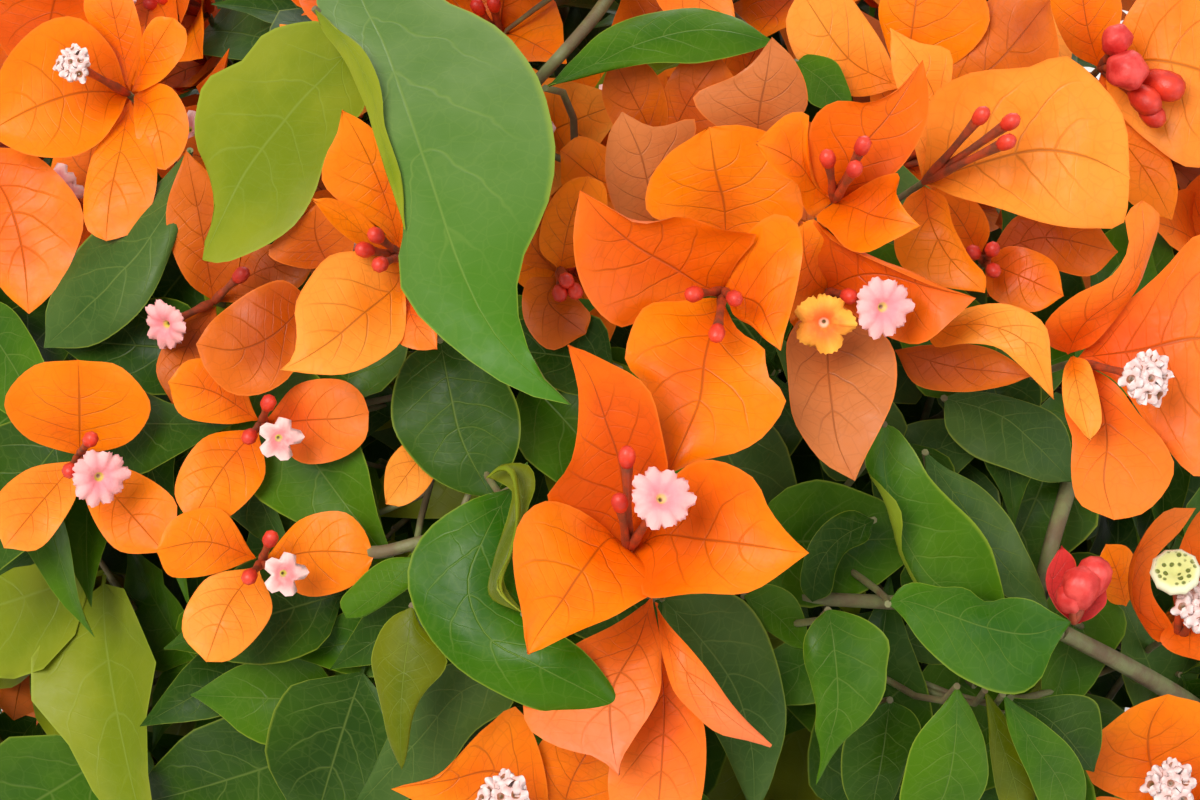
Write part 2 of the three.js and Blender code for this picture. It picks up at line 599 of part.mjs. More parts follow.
// One mass: a stem from its bough's tip, and a twig to each shoot from the nearest fork from which no
// leaf or flower is in its way.
function makeFoliage(mass, shoots) {
  const tip = boughLine(mass).getTangentAt(1);
  const start = mass.hub.clone().addScaledVector(tip, gap);
  const end = start.clone().addScaledVector(tip, 14);
  const pieces = [limb(new THREE.LineCurve3(start, end), () => bough.tipRadius, 1, 6)];
  const forks = [{ point: end, way: tip, path: 0, radius: 2.1, twigs: 0 }];
  const growing = shoots.filter(({ root, blades }) => blades.length && inside(mass, root) > 2);
  growing.sort((a, b) => a.root.distanceTo(end) - b.root.distanceTo(end));
  const all = growing.flatMap(({ blades }) => blades);
  for (const { root, blades } of growing) {
    const cost = (fork) => fork.point.distanceTo(root) + 0.4 * fork.path;
    const nearest = [...forks].sort((a, b) => cost(a) - cost(b)).slice(0, 6);
    const twigs = nearest.map((fork) => twigBetween(mass, fork, root));
    const others = all.filter((blade) => !blades.includes(blade));
    const twig = twigs.find((tried) => !others.some((blade) => touches(tried, blade))) || twigs[0];
    const { fork, line, length, radius } = twig;
    fork.twigs += 1;
    pieces.push(twig.body, ...blades.map((blade) => blade.body));
    for (const share of [0.5, 1]) {
      const path = fork.path + share * length;
      forks.push({ point: line.getPointAt(share), way: line.getTangentAt(share), path, radius, twigs: 0 });
    }
  }
  return fuse(pieces);
}

// Materials and nodes

const finish = (color, roughness) => new THREE.MeshStandardMaterial({ color, roughness, metalness: 0 });
const blackPlastic = finish(0x2c3036, 0.55);
const pottingMix = finish(0x5a3522, 0.95);
const plugFabric = finish(0x3b3834, 0.95);
const bark = finish(0x8c7761, 0.85);
const bloomingTwigs = finish(0xe0701f, 0.6);
const leafyTwigs = finish(0x5d7f3a, 0.5);

function node(name, made, material) {
  const { numProp, vertProperties, triVerts } = made.getMesh();
  const places = new THREE.BufferAttribute(new Float32Array(vertProperties), numProp);
  const geometry = new THREE.BufferGeometry().setAttribute("position", places);
  geometry.setIndex(new THREE.BufferAttribute(new Uint32Array(triVerts), 1));
  geometry.computeVertexNormals();
  const mesh = new THREE.Mesh(geometry, material);
  mesh.name = name;
  return mesh;
}

const bush = new THREE.Group();
bush.add(node("pot", makePot(), blackPlastic));
bush.add(node("potting_mix", makeSoil(), pottingMix));
bush.add(node("plug", makePlug(0), plugFabric));
bush.add(node("trunk", makeTrunk(0), bark));
for (const mass of masses) bush.add(node(`bough_${mass.name}`, makeBough(mass), bark));
const shoots = growShoots();
for (const mass of masses) {
  const made = makeFoliage(mass, shoots.filter((shoot) => shoot.mass === mass));
  bush.add(node(`foliage_${mass.name}`, made, mass.way.z < 0 ? leafyTwigs : bloomingTwigs));
}

export default bush;
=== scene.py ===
import json
import math
from collections import namedtuple

import bmesh
import bpy
import numpy as np
from mathutils import Matrix, Vector, noise
from mathutils.bvhtree import BVHTree

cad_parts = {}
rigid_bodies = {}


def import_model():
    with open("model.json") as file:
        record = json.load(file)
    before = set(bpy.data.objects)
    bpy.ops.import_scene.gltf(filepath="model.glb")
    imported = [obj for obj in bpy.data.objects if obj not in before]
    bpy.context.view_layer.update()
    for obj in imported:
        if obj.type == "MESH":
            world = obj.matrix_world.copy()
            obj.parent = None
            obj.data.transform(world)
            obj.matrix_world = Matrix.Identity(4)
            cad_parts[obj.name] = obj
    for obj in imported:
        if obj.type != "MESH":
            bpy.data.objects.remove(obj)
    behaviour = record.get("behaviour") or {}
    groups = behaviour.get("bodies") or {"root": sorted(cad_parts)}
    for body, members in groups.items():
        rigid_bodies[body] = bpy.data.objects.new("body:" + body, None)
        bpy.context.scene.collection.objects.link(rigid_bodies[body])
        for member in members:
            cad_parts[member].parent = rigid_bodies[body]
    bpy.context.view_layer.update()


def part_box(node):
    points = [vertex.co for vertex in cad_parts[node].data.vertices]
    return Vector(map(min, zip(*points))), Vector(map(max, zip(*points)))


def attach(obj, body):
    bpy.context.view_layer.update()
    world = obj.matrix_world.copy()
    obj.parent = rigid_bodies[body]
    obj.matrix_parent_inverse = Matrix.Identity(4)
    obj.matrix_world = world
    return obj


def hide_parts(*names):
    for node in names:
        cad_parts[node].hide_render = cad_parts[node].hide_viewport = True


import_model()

# A bougainvillea bush in flower, in a square black nursery pot. Metres, +Z up, the front faces -Y.

# Sizes of the plant, as its solids have them
GAP = 0.0003
GOLDEN_ANGLE = math.pi * (3 - math.sqrt(5))
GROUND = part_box("plug")[1].z  # the height at which the trunk leaves the plug
TRUNK = {"height": 0.112, "foot": 0.0086, "top": 0.0048, "flare": 0.0032, "flare_height": 0.011}
BOUGH = {
    "base": 0.0039,
    "tip": 0.0023,
    "tip_share": 0.44,
    "lowest": 0.28,
    "below": 0.06,
    "bend": 0.45,
    "lift": 0.006,
    "sag": 0.004,
    "spacing": 0.085,
}
CROWN = {
    "centre": Vector((0, 0, 0.302)),
    "reach": 0.19,
    "rise": 0.152,
    "fall": 0.128,
    "seed_share": 0.8,
    "sites": 132,
    "outer_share": 0.97,
    "inner_sites": 36,
    "inner_share": 0.76,
    "bare_share": 0.53,
    "bare_radius": 0.096,
    "bare_top": -0.028,
    "skirt": 0.171,
}
LEAF = {"long": 0.074, "short": 0.054}
BRACT = {"long": 0.047, "short": 0.04}
EDGE_ROOM = 0.02

# The photograph's view of the crown's front. Places in it are given as across and down, in pixels.
VIEW = {
    "elevation": math.radians(40),
    "distance": 0.538,
    "width": 1200,
    "height": 800,
    "lens": 85,
    "sensor": 36,
}
FOCAL = VIEW["lens"] / VIEW["sensor"] * VIEW["width"]
CORNER = {"across": 344, "down": 400}  # left of and below this place, the rule grows the blades
MARGIN = 30  # how far past the view's edges the drawn blades take the place of the rule's, in pixels
BLOOMS_ABOVE = 340  # fill shoots seen above this line carry flowers, and those below it leaves

# What shows at the front, each blade drawn by its midrib and its two edges. A place is across and down in the
# picture, in pixels, and how near it comes to the eye, in millimetres: from the flower's own depth, or for a
# leaf from the crown's surface there.
# The midrib runs from the blade's root to its tip, and both edges run between these two.
Blade = namedtuple("Blade", "tint rib left right")
Flower = namedtuple("Flower", "lift bracts heads", defaults=[()])
Leaf = namedtuple("Leaf", "lift blade")

CENTRAL = Flower(0.026, [
    Blade("burnt", [(628, 550, -6), (620, 464, 1), (605, 418, 4), (588, 372, 6), (568, 345, 8)],
          [(585, 528, -2), (546, 500, 2), (572, 458, 3), (580, 402, 5)],
          [(652, 520, 1), (665, 467, 5), (662, 428, 7), (648, 388, 8), (608, 362, 8)]),
    Blade("vivid", [(626, 552, -6), (612, 538, -3), (585, 567, 4), (562, 601, 8), (537, 636, 11),
                    (528, 654, 12)],
          [(600, 522, -1), (547, 501, 6), (522, 517, 9), (511, 555, 10), (520, 602, 12)],
          [(650, 568, 1), (658, 590, 5), (624, 609, 9), (570, 636, 12)]),
    Blade("vivid", [(632, 552, -6), (658, 536, -2), (708, 540, 4), (758, 546, 8), (790, 551, 9),
                    (809, 553, 9)],
          [(650, 508, 0), (679, 473, 4), (700, 461, 6), (727, 462, 8), (756, 479, 9), (768, 508, 10),
           (790, 535, 10)],
          [(640, 578, 3), (646, 597, 8), (708, 594, 10), (746, 592, 11), (775, 577, 11)]),
], [(659, 502, 13, "pink"), (627, 459, 11, "bud"), (620, 504, 10, "bud")])

MIDDLE = Flower(0.026, [
    Blade("burnt", [(723, 291, -4), (704, 286, -2), (670, 265, 1), (631, 242, 4), (603, 218, 7),
                    (580, 190, 8)],
          [(738, 262, 2), (757, 233, 6), (723, 228, 8), (685, 219, 8), (635, 224, 8), (604, 205, 8)],
          [(695, 300, -3), (655, 312, -1), (622, 327, 2), (586, 296, 5), (573, 245, 7)]),
    Blade("vivid", [(723, 293, -4), (742, 297, -1), (760, 305, 2), (768, 322, 5), (781, 351, 8)],
          [(732, 262, 0), (748, 232, 4), (777, 213, 7), (796, 222, 6), (803, 249, 5), (797, 284, 6),
           (788, 318, 7)],
          [(733, 312, 2), (748, 320, 5), (762, 337, 7)]),
    Blade("vivid", [(721, 297, -4), (708, 345, 4), (704, 364, 6), (700, 399, 9), (685, 437, 11),
                    (670, 472, 11)],
          [(685, 300, 0), (645, 306, 3), (625, 362, 7), (640, 385, 5), (640, 412, 5), (646, 448, 6)],
          [(738, 330, 3), (765, 349, 6), (767, 374, 8), (786, 398, 9), (767, 433, 10), (742, 450, 11),
           (706, 460, 11)]),
], [(695, 294, 8, "bud"), (734, 298, 9, "bud"), (717, 332, 12, "bud")])

SALMON = Flower(0.016, [
    Blade("salmon", [(828, 292, -5), (827, 350, 0), (831, 398, 5), (838, 444, 7), (855, 481, 8)],
          [(800, 318, -1), (785, 350, 3), (790, 391, 6), (797, 426, 8), (818, 458, 8)],
          [(868, 322, -1), (892, 345, 3), (897, 372, 5), (893, 400, 7), (880, 430, 8), (863, 462, 8)]),
    Blade("burnt", [(828, 290, -5), (852, 277, 0), (880, 274, 3), (926, 286, 6), (976, 298, 8)],
          [(812, 256, -1), (813, 219, 1), (832, 238, 3), (857, 255, 5), (893, 269, 7), (932, 285, 8)],
          [(850, 312, 0), (895, 340, 3), (924, 343, 6), (957, 316, 8)]),
    Blade("vivid", [(826, 290, -5), (816, 282, -3), (806, 262, -1), (803, 222, 1)],
          [(808, 312, -3), (793, 328, -2), (784, 280, -1), (790, 240, 0)],
          [(828, 268, -2), (828, 244, 0), (816, 220, 1)]),
    Blade("golden", [(925, 330, -10), (985, 325, -3), (1026, 343, -1), (1054, 400, -2)],
          [(957, 312, -4), (989, 303, -2), (1018, 307, -1), (1046, 326, -1), (1051, 365, -1)],
          [(935, 347, -8), (963, 343, -4), (996, 347, -2), (1017, 362, -2), (1040, 386, -2)]),
    Blade("rust", [(895, 350, -14), (950, 366, -12), (1000, 372, -11), (1032, 376, -10)],
          [(925, 345, -13), (983, 346, -12), (1012, 360, -11)],
          [(915, 384, -13), (960, 392, -12), (1005, 386, -11)]),
], [(878, 306, 12, "pink"), (824, 320, 11, "golden"), (848, 296, 6, "bud")])

UPPER = Flower(0.024, [
    Blade("burnt", [(834, 201, -5), (850, 172, 0), (866, 142, 3), (887, 118, 5), (913, 78, 6),
                    (923, 60, 6)],
          [(812, 180, -1), (809, 150, 2), (811, 122, 4), (822, 107, 5), (838, 100, 6), (868, 105, 7),
           (895, 92, 7)],
          [(866, 192, 0), (896, 172, 3), (916, 146, 4), (928, 115, 5), (928, 86, 6)]),
    Blade("vivid", [(834, 203, -5), (854, 208, -1), (872, 215, 2), (893, 220, 5), (921, 226, 7)],
          [(857, 190, 1), (881, 176, 4), (901, 174, 6), (894, 190, 6), (904, 208, 6)],
          [(816, 219, 1), (831, 232, 4), (849, 249, 6), (866, 253, 7), (893, 241, 7)]),
    Blade("vivid", [(832, 202, -5), (818, 190, -2), (800, 165, 2), (778, 151, 4), (756, 143, 5)],
          [(811, 180, 0), (807, 150, 3), (808, 114, 4), (790, 113, 5), (771, 127, 5)],
          [(812, 216, -1), (803, 205, 2), (796, 183, 4), (774, 168, 5)]),
], [(828, 160, 9, "bud"), (862, 147, 12, "bud"), (854, 170, 12, "bud")])

LONG_TUBED = Flower(0.014, [
    Blade("golden", [(924, 182, -5), (985, 162, 1), (1040, 150, 3), (1090, 158, 5), (1130, 178, 5)],
          [(926, 140, 0), (931, 97, 2), (968, 74, 4), (1033, 66, 6), (1060, 54, 6), (1088, 71, 6),
           (1124, 117, 6)],
          [(946, 192, 1), (983, 203, 3), (1021, 217, 5), (1060, 226, 6), (1096, 228, 6), (1122, 225, 6)]),
    Blade("vivid", [(924, 186, -6), (930, 220, -3), (948, 256, -1), (985, 293, 1)],
          [(905, 200, -4), (894, 245, -3), (905, 270, -2), (940, 286, -1)],
          [(945, 198, -2), (957, 235, 0), (972, 258, 1), (986, 277, 1)]),
    Blade("golden", [(922, 178, -6), (940, 120, -4), (922, 70, -3), (890, 28, -2)],
          [(915, 150, -5), (905, 110, -4), (892, 70, -3)],
          [(950, 130, -4), (951, 90, -3), (950, 50, -3), (915, 42, -3)]),
], [(980, 117, 16, "bud"), (1009, 123, 17, "bud"), (1005, 143, 18, "bud")])

BACK_SALMON = Flower(0.002, [
    Blade("vivid", [(726, 240, -6), (724, 203, -1), (716, 172, 2), (709, 127, 4)],
          [(690, 228, -2), (648, 213, 1), (649, 182, 2), (670, 152, 3), (693, 137, 4)],
          [(765, 234, -2), (800, 222, 1), (802, 186, 2), (780, 140, 3), (742, 125, 4)]),
    Blade("salmon", [(655, 232, -9), (648, 184, -4), (641, 155, -2), (622, 112, 0)],
          [(618, 215, -6), (605, 165, -4), (609, 134, -2)],
          [(676, 205, -7), (682, 165, -4), (696, 136, -3), (695, 119, -2), (654, 127, -1)]),
    Blade("salmon", [(756, 150, -10), (760, 108, -4), (766, 78, -2), (772, 37, 0)],
          [(728, 134, -7), (700, 112, -5), (693, 97, -4), (738, 74, -2), (757, 58, -1)],
          [(785, 128, -7), (807, 110, -5), (806, 85, -3), (793, 58, -1)]),
])

RIGHT_LARGE = Flower(0.022, [
    Blade("deep", [(1076, 362, -5), (1098, 395, 1), (1107, 440, 5), (1104, 482, 7), (1114, 520, 8)],
          [(1064, 385, 0), (1065, 415, 3), (1073, 438, 5), (1071, 468, 6), (1078, 502, 8)],
          [(1112, 380, 1), (1140, 415, 3), (1166, 446, 6), (1175, 466, 7), (1165, 492, 8), (1142, 514, 8)]),
    Blade("deep", [(1068, 354, -4), (1085, 322, 3), (1128, 285, 6), (1143, 240, 6), (1142, 200, 5)],
          [(1047, 343, 0), (1046, 322, 4), (1071, 297, 7), (1112, 276, 8), (1128, 248, 8), (1126, 214, 6)],
          [(1092, 345, 0), (1120, 312, 2), (1143, 279, 3), (1153, 249, 3), (1158, 213, 4)]),
    Blade("deep", [(1078, 358, -5), (1140, 350, 1), (1200, 338, 4), (1264, 352, 5)],
          [(1105, 325, 0), (1160, 272, 3), (1205, 232, 5), (1250, 262, 5)],
          [(1116, 384, 0), (1160, 440, 3), (1200, 478, 5), (1245, 450, 5)]),
    Blade("golden", [(1072, 356, -2), (1077, 385, 8), (1090, 440, 12)],
          [(1063, 372, 5), (1066, 410, 11)],
          [(1088, 362, 5), (1098, 392, 9), (1101, 424, 12)]),
], [(1140, 376, 14, "white")])

RIGHT_CUP = Flower(0.01, [
    Blade("deep", [(1178, 640, -6), (1134, 604, 0), (1138, 554, 3), (1196, 508, 3)],
          [(1154, 640, 2), (1131, 592, 8), (1140, 540, 9), (1168, 511, 7)],
          [(1168, 618, -3), (1152, 592, -1), (1154, 560, 1), (1180, 532, 2)]),
    Blade("deep", [(1176, 618, -8), (1196, 628, -3), (1222, 634, 0), (1254, 622, 2)],
          [(1190, 596, -5), (1226, 592, -2), (1246, 600, 1)],
          [(1160, 640, 0), (1182, 656, 5), (1218, 662, 6), (1246, 646, 4)]),
    Blade("deep", [(1186, 600, -8), (1210, 560, -4), (1226, 530, 0), (1228, 500, 2)],
          [(1176, 566, -6), (1188, 528, -2), (1208, 504, 1)],
          [(1220, 600, -4), (1246, 566, 0), (1248, 524, 2)]),
    Blade("vivid", [(1126, 606, -10), (1118, 575, -8), (1106, 544, -7)],
          [(1110, 602, -9), (1098, 575, -8), (1100, 556, -7)],
          [(1134, 592, -9), (1136, 562, -8), (1126, 546, -7)]),
], [(1175, 580, 8, "cream"), (1197, 612, 6, "white")])

BOTTOM_RIGHT = Flower(0.008, [
    Blade("vivid", [(1172, 806, -6), (1150, 762, 0), (1150, 726, 4), (1168, 694, 6)],
          [(1130, 802, 0), (1088, 778, 3), (1086, 745, 5), (1102, 728, 6), (1132, 707, 6)],
          [(1206, 782, -1), (1226, 744, 3), (1206, 706, 5)]),
    Blade("vivid", [(1174, 808, -6), (1214, 800, 0), (1262, 786, 4)],
          [(1200, 772, -1), (1236, 752, 3), (1256, 766, 4)],
          [(1196, 836, 0), (1236, 836, 4), (1258, 810, 5)]),
    Blade("vivid", [(1170, 810, -6), (1130, 824, 0), (1098, 850, 4)],
          [(1130, 800, -1), (1092, 800, 3), (1086, 826, 4)],
          [(1178, 846, 0), (1140, 866, 4), (1112, 866, 5)]),
], [(1170, 786, 12, "white")])

TOP_RIGHT = Flower(0.002, [
    Blade("vivid", [(1100, 68, -5), (1088, 30, 0), (1078, -34, 3)],
          [(1072, 52, -1), (1054, 18, 1), (1050, -14, 3)],
          [(1114, 42, 0), (1122, 4, 2), (1104, -28, 3)]),
    Blade("golden", [(1104, 68, -5), (1150, 60, 1), (1200, 70, 3), (1250, 96, 4)],
          [(1124, 20, 0), (1160, -22, 2), (1215, -12, 3), (1250, 40, 4)],
          [(1112, 104, 0), (1150, 142, 2), (1190, 168, 3), (1232, 152, 4)]),
    Blade("vivid", [(1102, 72, -6), (1118, 130, -3), (1150, 178, -1), (1172, 220, 0)],
          [(1088, 110, -4), (1104, 168, -2), (1134, 206, -1)],
          [(1136, 110, -3), (1166, 150, -1), (1178, 190, 0)]),
], [(1125, 70, 10, "closed", 1.7), (1116, 42, 8, "closed", 1.3), (1143, 98, 8, "bud", 1.9),
    (1160, 84, 6, "bud", 2.2), (1150, 112, 7, "bud", 1.6)])

TOP_LEFT = Flower(0.012, [
    Blade("vivid", [(128, 94, -6), (84, 92, 0), (34, 108, 3), (-12, 132, 4)],
          [(112, 48, -1), (77, 17, 3), (46, 22, 5), (12, 50, 5), (-8, 92, 5)],
          [(118, 120, 1), (98, 142, 4), (70, 158, 6), (30, 154, 6), (0, 142, 5)]),
    Blade("vivid", [(130, 90, -6), (122, 50, -3), (106, -22, 0)],
          [(110, 52, -5), (84, 12, -2), (88, -12, -1)],
          [(139, 60, -3), (141, 28, -1), (128, -8, 0)]),
    Blade("vivid", [(132, 92, -6), (148, 60, 1), (174, 18, 5)],
          [(139, 64, -1), (143, 34, 3), (156, 17, 4)],
          [(144, 90, 0), (166, 76, 3), (184, 54, 4), (186, 30, 5)]),
    Blade("vivid", [(134, 96, -6), (152, 112, 1), (166, 170, 5)],
          [(148, 84, 0), (171, 87, 3), (185, 106, 4), (188, 136, 5), (180, 158, 5)],
          [(134, 122, 1), (140, 150, 3), (155, 168, 5)]),
    Blade("vivid", [(130, 100, -6), (121, 150, 3), (110, 200, 6), (106, 241, 7)],
          [(108, 130, 1), (91, 160, 3), (83, 200, 5), (88, 231, 7)],
          [(144, 130, 2), (157, 165, 5), (152, 204, 7), (130, 234, 7)]),
    Blade("vivid", [(-30, 148, -8), (8, 200, -4), (24, 260, -2), (29, 314, -1)],
          [(-36, 200, -6), (-20, 252, -4), (4, 292, -2)],
          [(24, 150, -6), (58, 174, -4), (81, 206, -3), (82, 232, -2), (66, 274, -1), (46, 300, -1)]),
], [(78, 66, 10, "white", 0.75)])

LEFT_MIDDLE = Flower(0.016, [
    Blade("vivid", [(402, 256, -5), (388, 206, 1), (370, 160, 4), (352, 126, 6), (342, 110, 7)],
          [(380, 228, 0), (345, 206, 3), (322, 181, 4), (326, 155, 5), (337, 134, 6)],
          [(405, 215, 0), (398, 172, 3), (386, 145, 5), (366, 124, 6)]),
    Blade("golden", [(401, 262, -5), (396, 285, 0), (362, 315, 5), (330, 342, 7), (300, 361, 8),
                     (280, 370, 8)],
          [(385, 255, 0), (356, 251, 4), (329, 256, 6), (306, 283, 7), (295, 306, 8), (297, 334, 8),
           (292, 358, 8)],
          [(405, 292, 1), (403, 338, 3), (379, 360, 6), (344, 374, 8), (312, 374, 8)]),
    Blade("vivid", [(400, 254, -5), (370, 238, 0), (340, 214, 3), (311, 199, 5)],
          [(384, 234, 0), (356, 210, 3), (330, 197, 5)],
          [(380, 254, 0), (358, 246, 3), (328, 220, 5)]),
    Blade("deep", [(406, 286, -3), (414, 322, 2), (437, 349, 4)],
          [(418, 308, 0), (436, 330, 3)],
          [(393, 318, 1), (398, 342, 3), (416, 350, 4)]),
    Blade("rust", [(310, 298, -12), (272, 336, -9), (236, 350, -8), (196, 344, -7)],
          [(282, 280, -10), (240, 298, -9), (211, 322, -8)],
          [(302, 334, -10), (292, 374, -9), (264, 393, -8), (232, 394, -8), (206, 370, -7)]),
    Blade("rust", [(330, 268, -13), (316, 236, -11), (316, 204, -10)],
          [(300, 268, -12), (268, 254, -11), (290, 226, -10)],
          [(352, 252, -12), (352, 230, -11), (334, 208, -10)]),
], [(377, 236, 9, "bud"), (381, 264, 10, "bud"), (366, 250, 6, "bud")])

BESIDE_LEAF = Flower(-0.004, [
    Blade("vivid", [(560, 270, -4), (570, 220, 0), (588, 176, 2)],
          [(540, 250, -2), (548, 205, 0), (570, 180, 2)],
          [(588, 262, -2), (606, 220, 0), (604, 184, 2)]),
    Blade("rust", [(560, 276, -4), (548, 300, 0), (586, 334, 2)],
          [(528, 280, -2), (524, 320, 0), (550, 350, 2)],
          [(566, 292, 0), (590, 314, 2)]),
    Blade("rust", [(564, 284, -6), (556, 332, -3), (552, 394, -2)],
          [(536, 308, -4), (528, 356, -3)],
          [(590, 318, -4), (582, 366, -3)]),
    Blade("rust", [(556, 272, -5), (530, 240, -2), (524, 190, 0)],
          [(520, 260, -3), (506, 220, -1), (510, 196, 0)],
          [(560, 240, -3), (556, 206, -1), (540, 186, 0)]),
], [(566, 280, 6, "bud"), (574, 290, 6, "bud"), (560, 292, 6, "bud")])

HANGING = Flower(0.016, [
    Blade("pinktip", [(652, 599, -5), (636, 645, 0), (612, 690, 2), (612, 738, 4), (619, 776, 6)],
          [(618, 622, -3), (566, 652, -3), (523, 700, 0), (530, 730, 2), (560, 748, 4), (596, 757, 5)],
          [(660, 640, 0), (661, 686, 2), (651, 713, 4), (634, 737, 5), (624, 758, 6)]),
    Blade("pinktip", [(656, 602, -5), (674, 652, 4), (702, 692, 6), (738, 724, 7), (771, 746, 6)],
          [(662, 650, 2), (673, 690, 4), (693, 714, 5), (718, 733, 6), (746, 740, 6)],
          [(668, 624, 2), (688, 646, 4), (712, 676, 5), (734, 705, 6), (756, 730, 6)]),
    Blade("deep", [(658, 640, -9), (664, 700, -6), (662, 760, -4), (655, 846, -3)],
          [(640, 690, -7), (612, 752, -5), (612, 808, -4)],
          [(690, 694, -7), (704, 724, -5), (705, 776, -4), (692, 822, -3)]),
])

BOTTOM_LEFT = Flower(0.006, [
    Blade("vivid", [(548, 824, -4), (500, 772, 1), (450, 780, 4), (391, 789, 5)],
          [(548, 788, -2), (536, 742, 1), (514, 706, 3), (487, 724, 5), (462, 752, 5), (438, 778, 5)],
          [(520, 836, 0), (470, 832, 3), (425, 806, 5)]),
    Blade("vivid", [(560, 826, -6), (572, 780, -3), (604, 726, -2)],
          [(538, 800, -4), (533, 758, -3), (548, 734, -2), (576, 724, -2)],
          [(596, 820, -4), (618, 788, -3), (620, 748, -2)]),
    Blade("vivid", [(556, 832, -5), (590, 850, 0), (640, 876, 3)],
          [(580, 824, -2), (622, 830, 1), (640, 850, 3)],
          [(560, 870, -1), (600, 892, 2), (630, 894, 3)]),
], [(508, 800, 12, "white")])

PINK_BUDS = Flower(0.006, [
    Blade("rose", [(1074, 622, -4), (1052, 590, 0), (1062, 546, 2)],
          [(1056, 606, -1), (1046, 574, 1)],
          [(1074, 598, -1), (1076, 562, 1)]),
    Blade("rose", [(1076, 624, -4), (1092, 606, 0), (1106, 586, 2)],
          [(1080, 604, -1), (1092, 582, 1)],
          [(1092, 618, -1), (1106, 604, 1)]),
], [(1080, 590, 5, "closed", 1.5), (1092, 580, 3, "closed", 1.4), (1070, 600, 4, "closed", 1.1)])

BEHIND_TOP = Flower(-0.008, [
    Blade("vivid", [(906, 84, -5), (912, 30, 0), (922, -40, 2)],
          [(888, 50, -2), (880, 0, 1)],
          [(960, 60, -2), (990, 20, 1), (966, -30, 2)]),
    Blade("golden", [(902, 88, -5), (850, 60, 0), (800, -10, 2)],
          [(880, 40, -1), (836, -14, 1)],
          [(850, 96, -1), (800, 64, 1), (786, 20, 2)]),
    Blade("rust", [(908, 92, -6), (980, 76, -2), (1050, 0, 0)],
          [(950, 50, -3), (1000, -8, -1)],
          [(990, 104, -3), (1056, 66, -1)]),
])

ABOVE_LEAF = Flower(0.018, [
    Blade("deep", [(664, -56, -4), (684, -14, 0), (736, 22, 3)],
          [(696, -40, 0), (730, -4, 2)],
          [(652, -22, 0), (664, 12, 2), (698, 31, 3)]),
    Blade("vivid", [(660, -60, -4), (630, -30, 0), (590, -14, 3)],
          [(648, -24, 0), (612, -2, 2)],
          [(636, -66, 0), (600, -44, 2)]),
])

BEHIND_SALMON = Flower(-0.012, [
    Blade("rust", [(660, 152, -5), (640, 110, -1), (612, 56, 1)],
          [(630, 146, -2), (602, 96, 0)],
          [(668, 110, -2), (650, 66, 0)]),
    Blade("rust", [(664, 150, -5), (690, 100, -1), (720, 56, 1)],
          [(660, 104, -2), (684, 60, 0)],
          [(716, 130, -2), (736, 86, 0)]),
    Blade("vivid", [(662, 156, -5), (612, 184, -1), (560, 150, 1)],
          [(620, 154, -2), (580, 136, 0)],
          [(616, 212, -2), (566, 196, 0)]),
])

BEHIND_LONG = Flower(-0.004, [
    Blade("vivid", [(984, 262, -5), (1020, 276, -1), (1064, 296, 1)],
          [(1010, 246, -2), (1054, 262, 0)],
          [(990, 296, -2), (1034, 312, 0)]),
    Blade("rust", [(986, 258, -5), (1040, 238, -1), (1118, 252, 1)],
          [(1020, 214, -2), (1084, 214, 0)],
          [(1030, 262, -2), (1090, 276, 0)]),
    Blade("vivid", [(980, 256, -5), (960, 220, -1), (936, 188, 1)],
          [(940, 246, -2), (918, 212, 0)],
          [(990, 230, -2), (974, 200, 0)]),
], [(974, 253, 5, "bud"), (992, 250, 6, "bud"), (993, 270, 6, "bud")])

LOW_LEFT = Flower(0.008, [
    Blade("vivid", [(80, 456, -6), (80, 412, 0), (78, 360, 4)],
          [(26, 438, -1), (4, 400, 3), (34, 366, 4)],
          [(132, 440, -1), (150, 402, 3), (120, 366, 4)]),
    Blade("vivid", [(82, 460, -6), (122, 504, 0), (164, 552, 3)],
          [(136, 472, -1), (176, 504, 3)],
          [(86, 502, -1), (118, 550, 3)]),
    Blade("golden", [(78, 460, -6), (40, 504, 0), (4, 548, 3)],
          [(74, 502, -1), (36, 550, 3)],
          [(26, 470, -1), (-8, 506, 3)]),
], [(90, 440, 9, "bud"), (70, 470, 9, "bud"), (96, 474, 9, "pink")])

LEFT_BEHIND = Flower(-0.01, [
    Blade("rust", [(214, 302, -4), (204, 240, 0), (186, 150, 2)],
          [(186, 280, -1), (166, 216, 1)],
          [(240, 262, -1), (218, 186, 1)]),
    Blade("rust", [(216, 306, -4), (186, 350, 0), (172, 404, 2)],
          [(184, 318, -1), (156, 368, 1)],
          [(220, 350, -1), (200, 394, 1)]),
    Blade("rust", [(216, 302, -4), (262, 270, 0), (316, 262, 2)],
          [(240, 256, -1), (290, 244, 1)],
          [(250, 302, -1), (298, 288, 1)]),
], [(240, 276, 7, "bud"), (172, 322, 4, "pink", 0.9)])

EDGE_HIGH = Flower(0.0, [
    Blade("deep", [(262, 424, -4), (310, 420, 0), (345, 418, 2), (369, 412, 2)],
          [(300, 384, -1), (342, 380, 1), (362, 394, 2)],
          [(300, 462, -1), (342, 458, 1), (366, 438, 2)]),
    Blade("vivid", [(258, 428, -4), (222, 470, 0), (190, 524, 2)],
          [(264, 478, -1), (214, 526, 1)],
          [(204, 438, -1), (174, 490, 1)]),
    Blade("vivid", [(258, 420, -4), (214, 392, 0), (168, 382, 2)],
          [(226, 424, -1), (180, 414, 1)],
          [(232, 366, -1), (188, 360, 1)]),
], [(268, 404, 7, "bud"), (250, 436, 7, "bud"), (276, 436, 8, "small")])

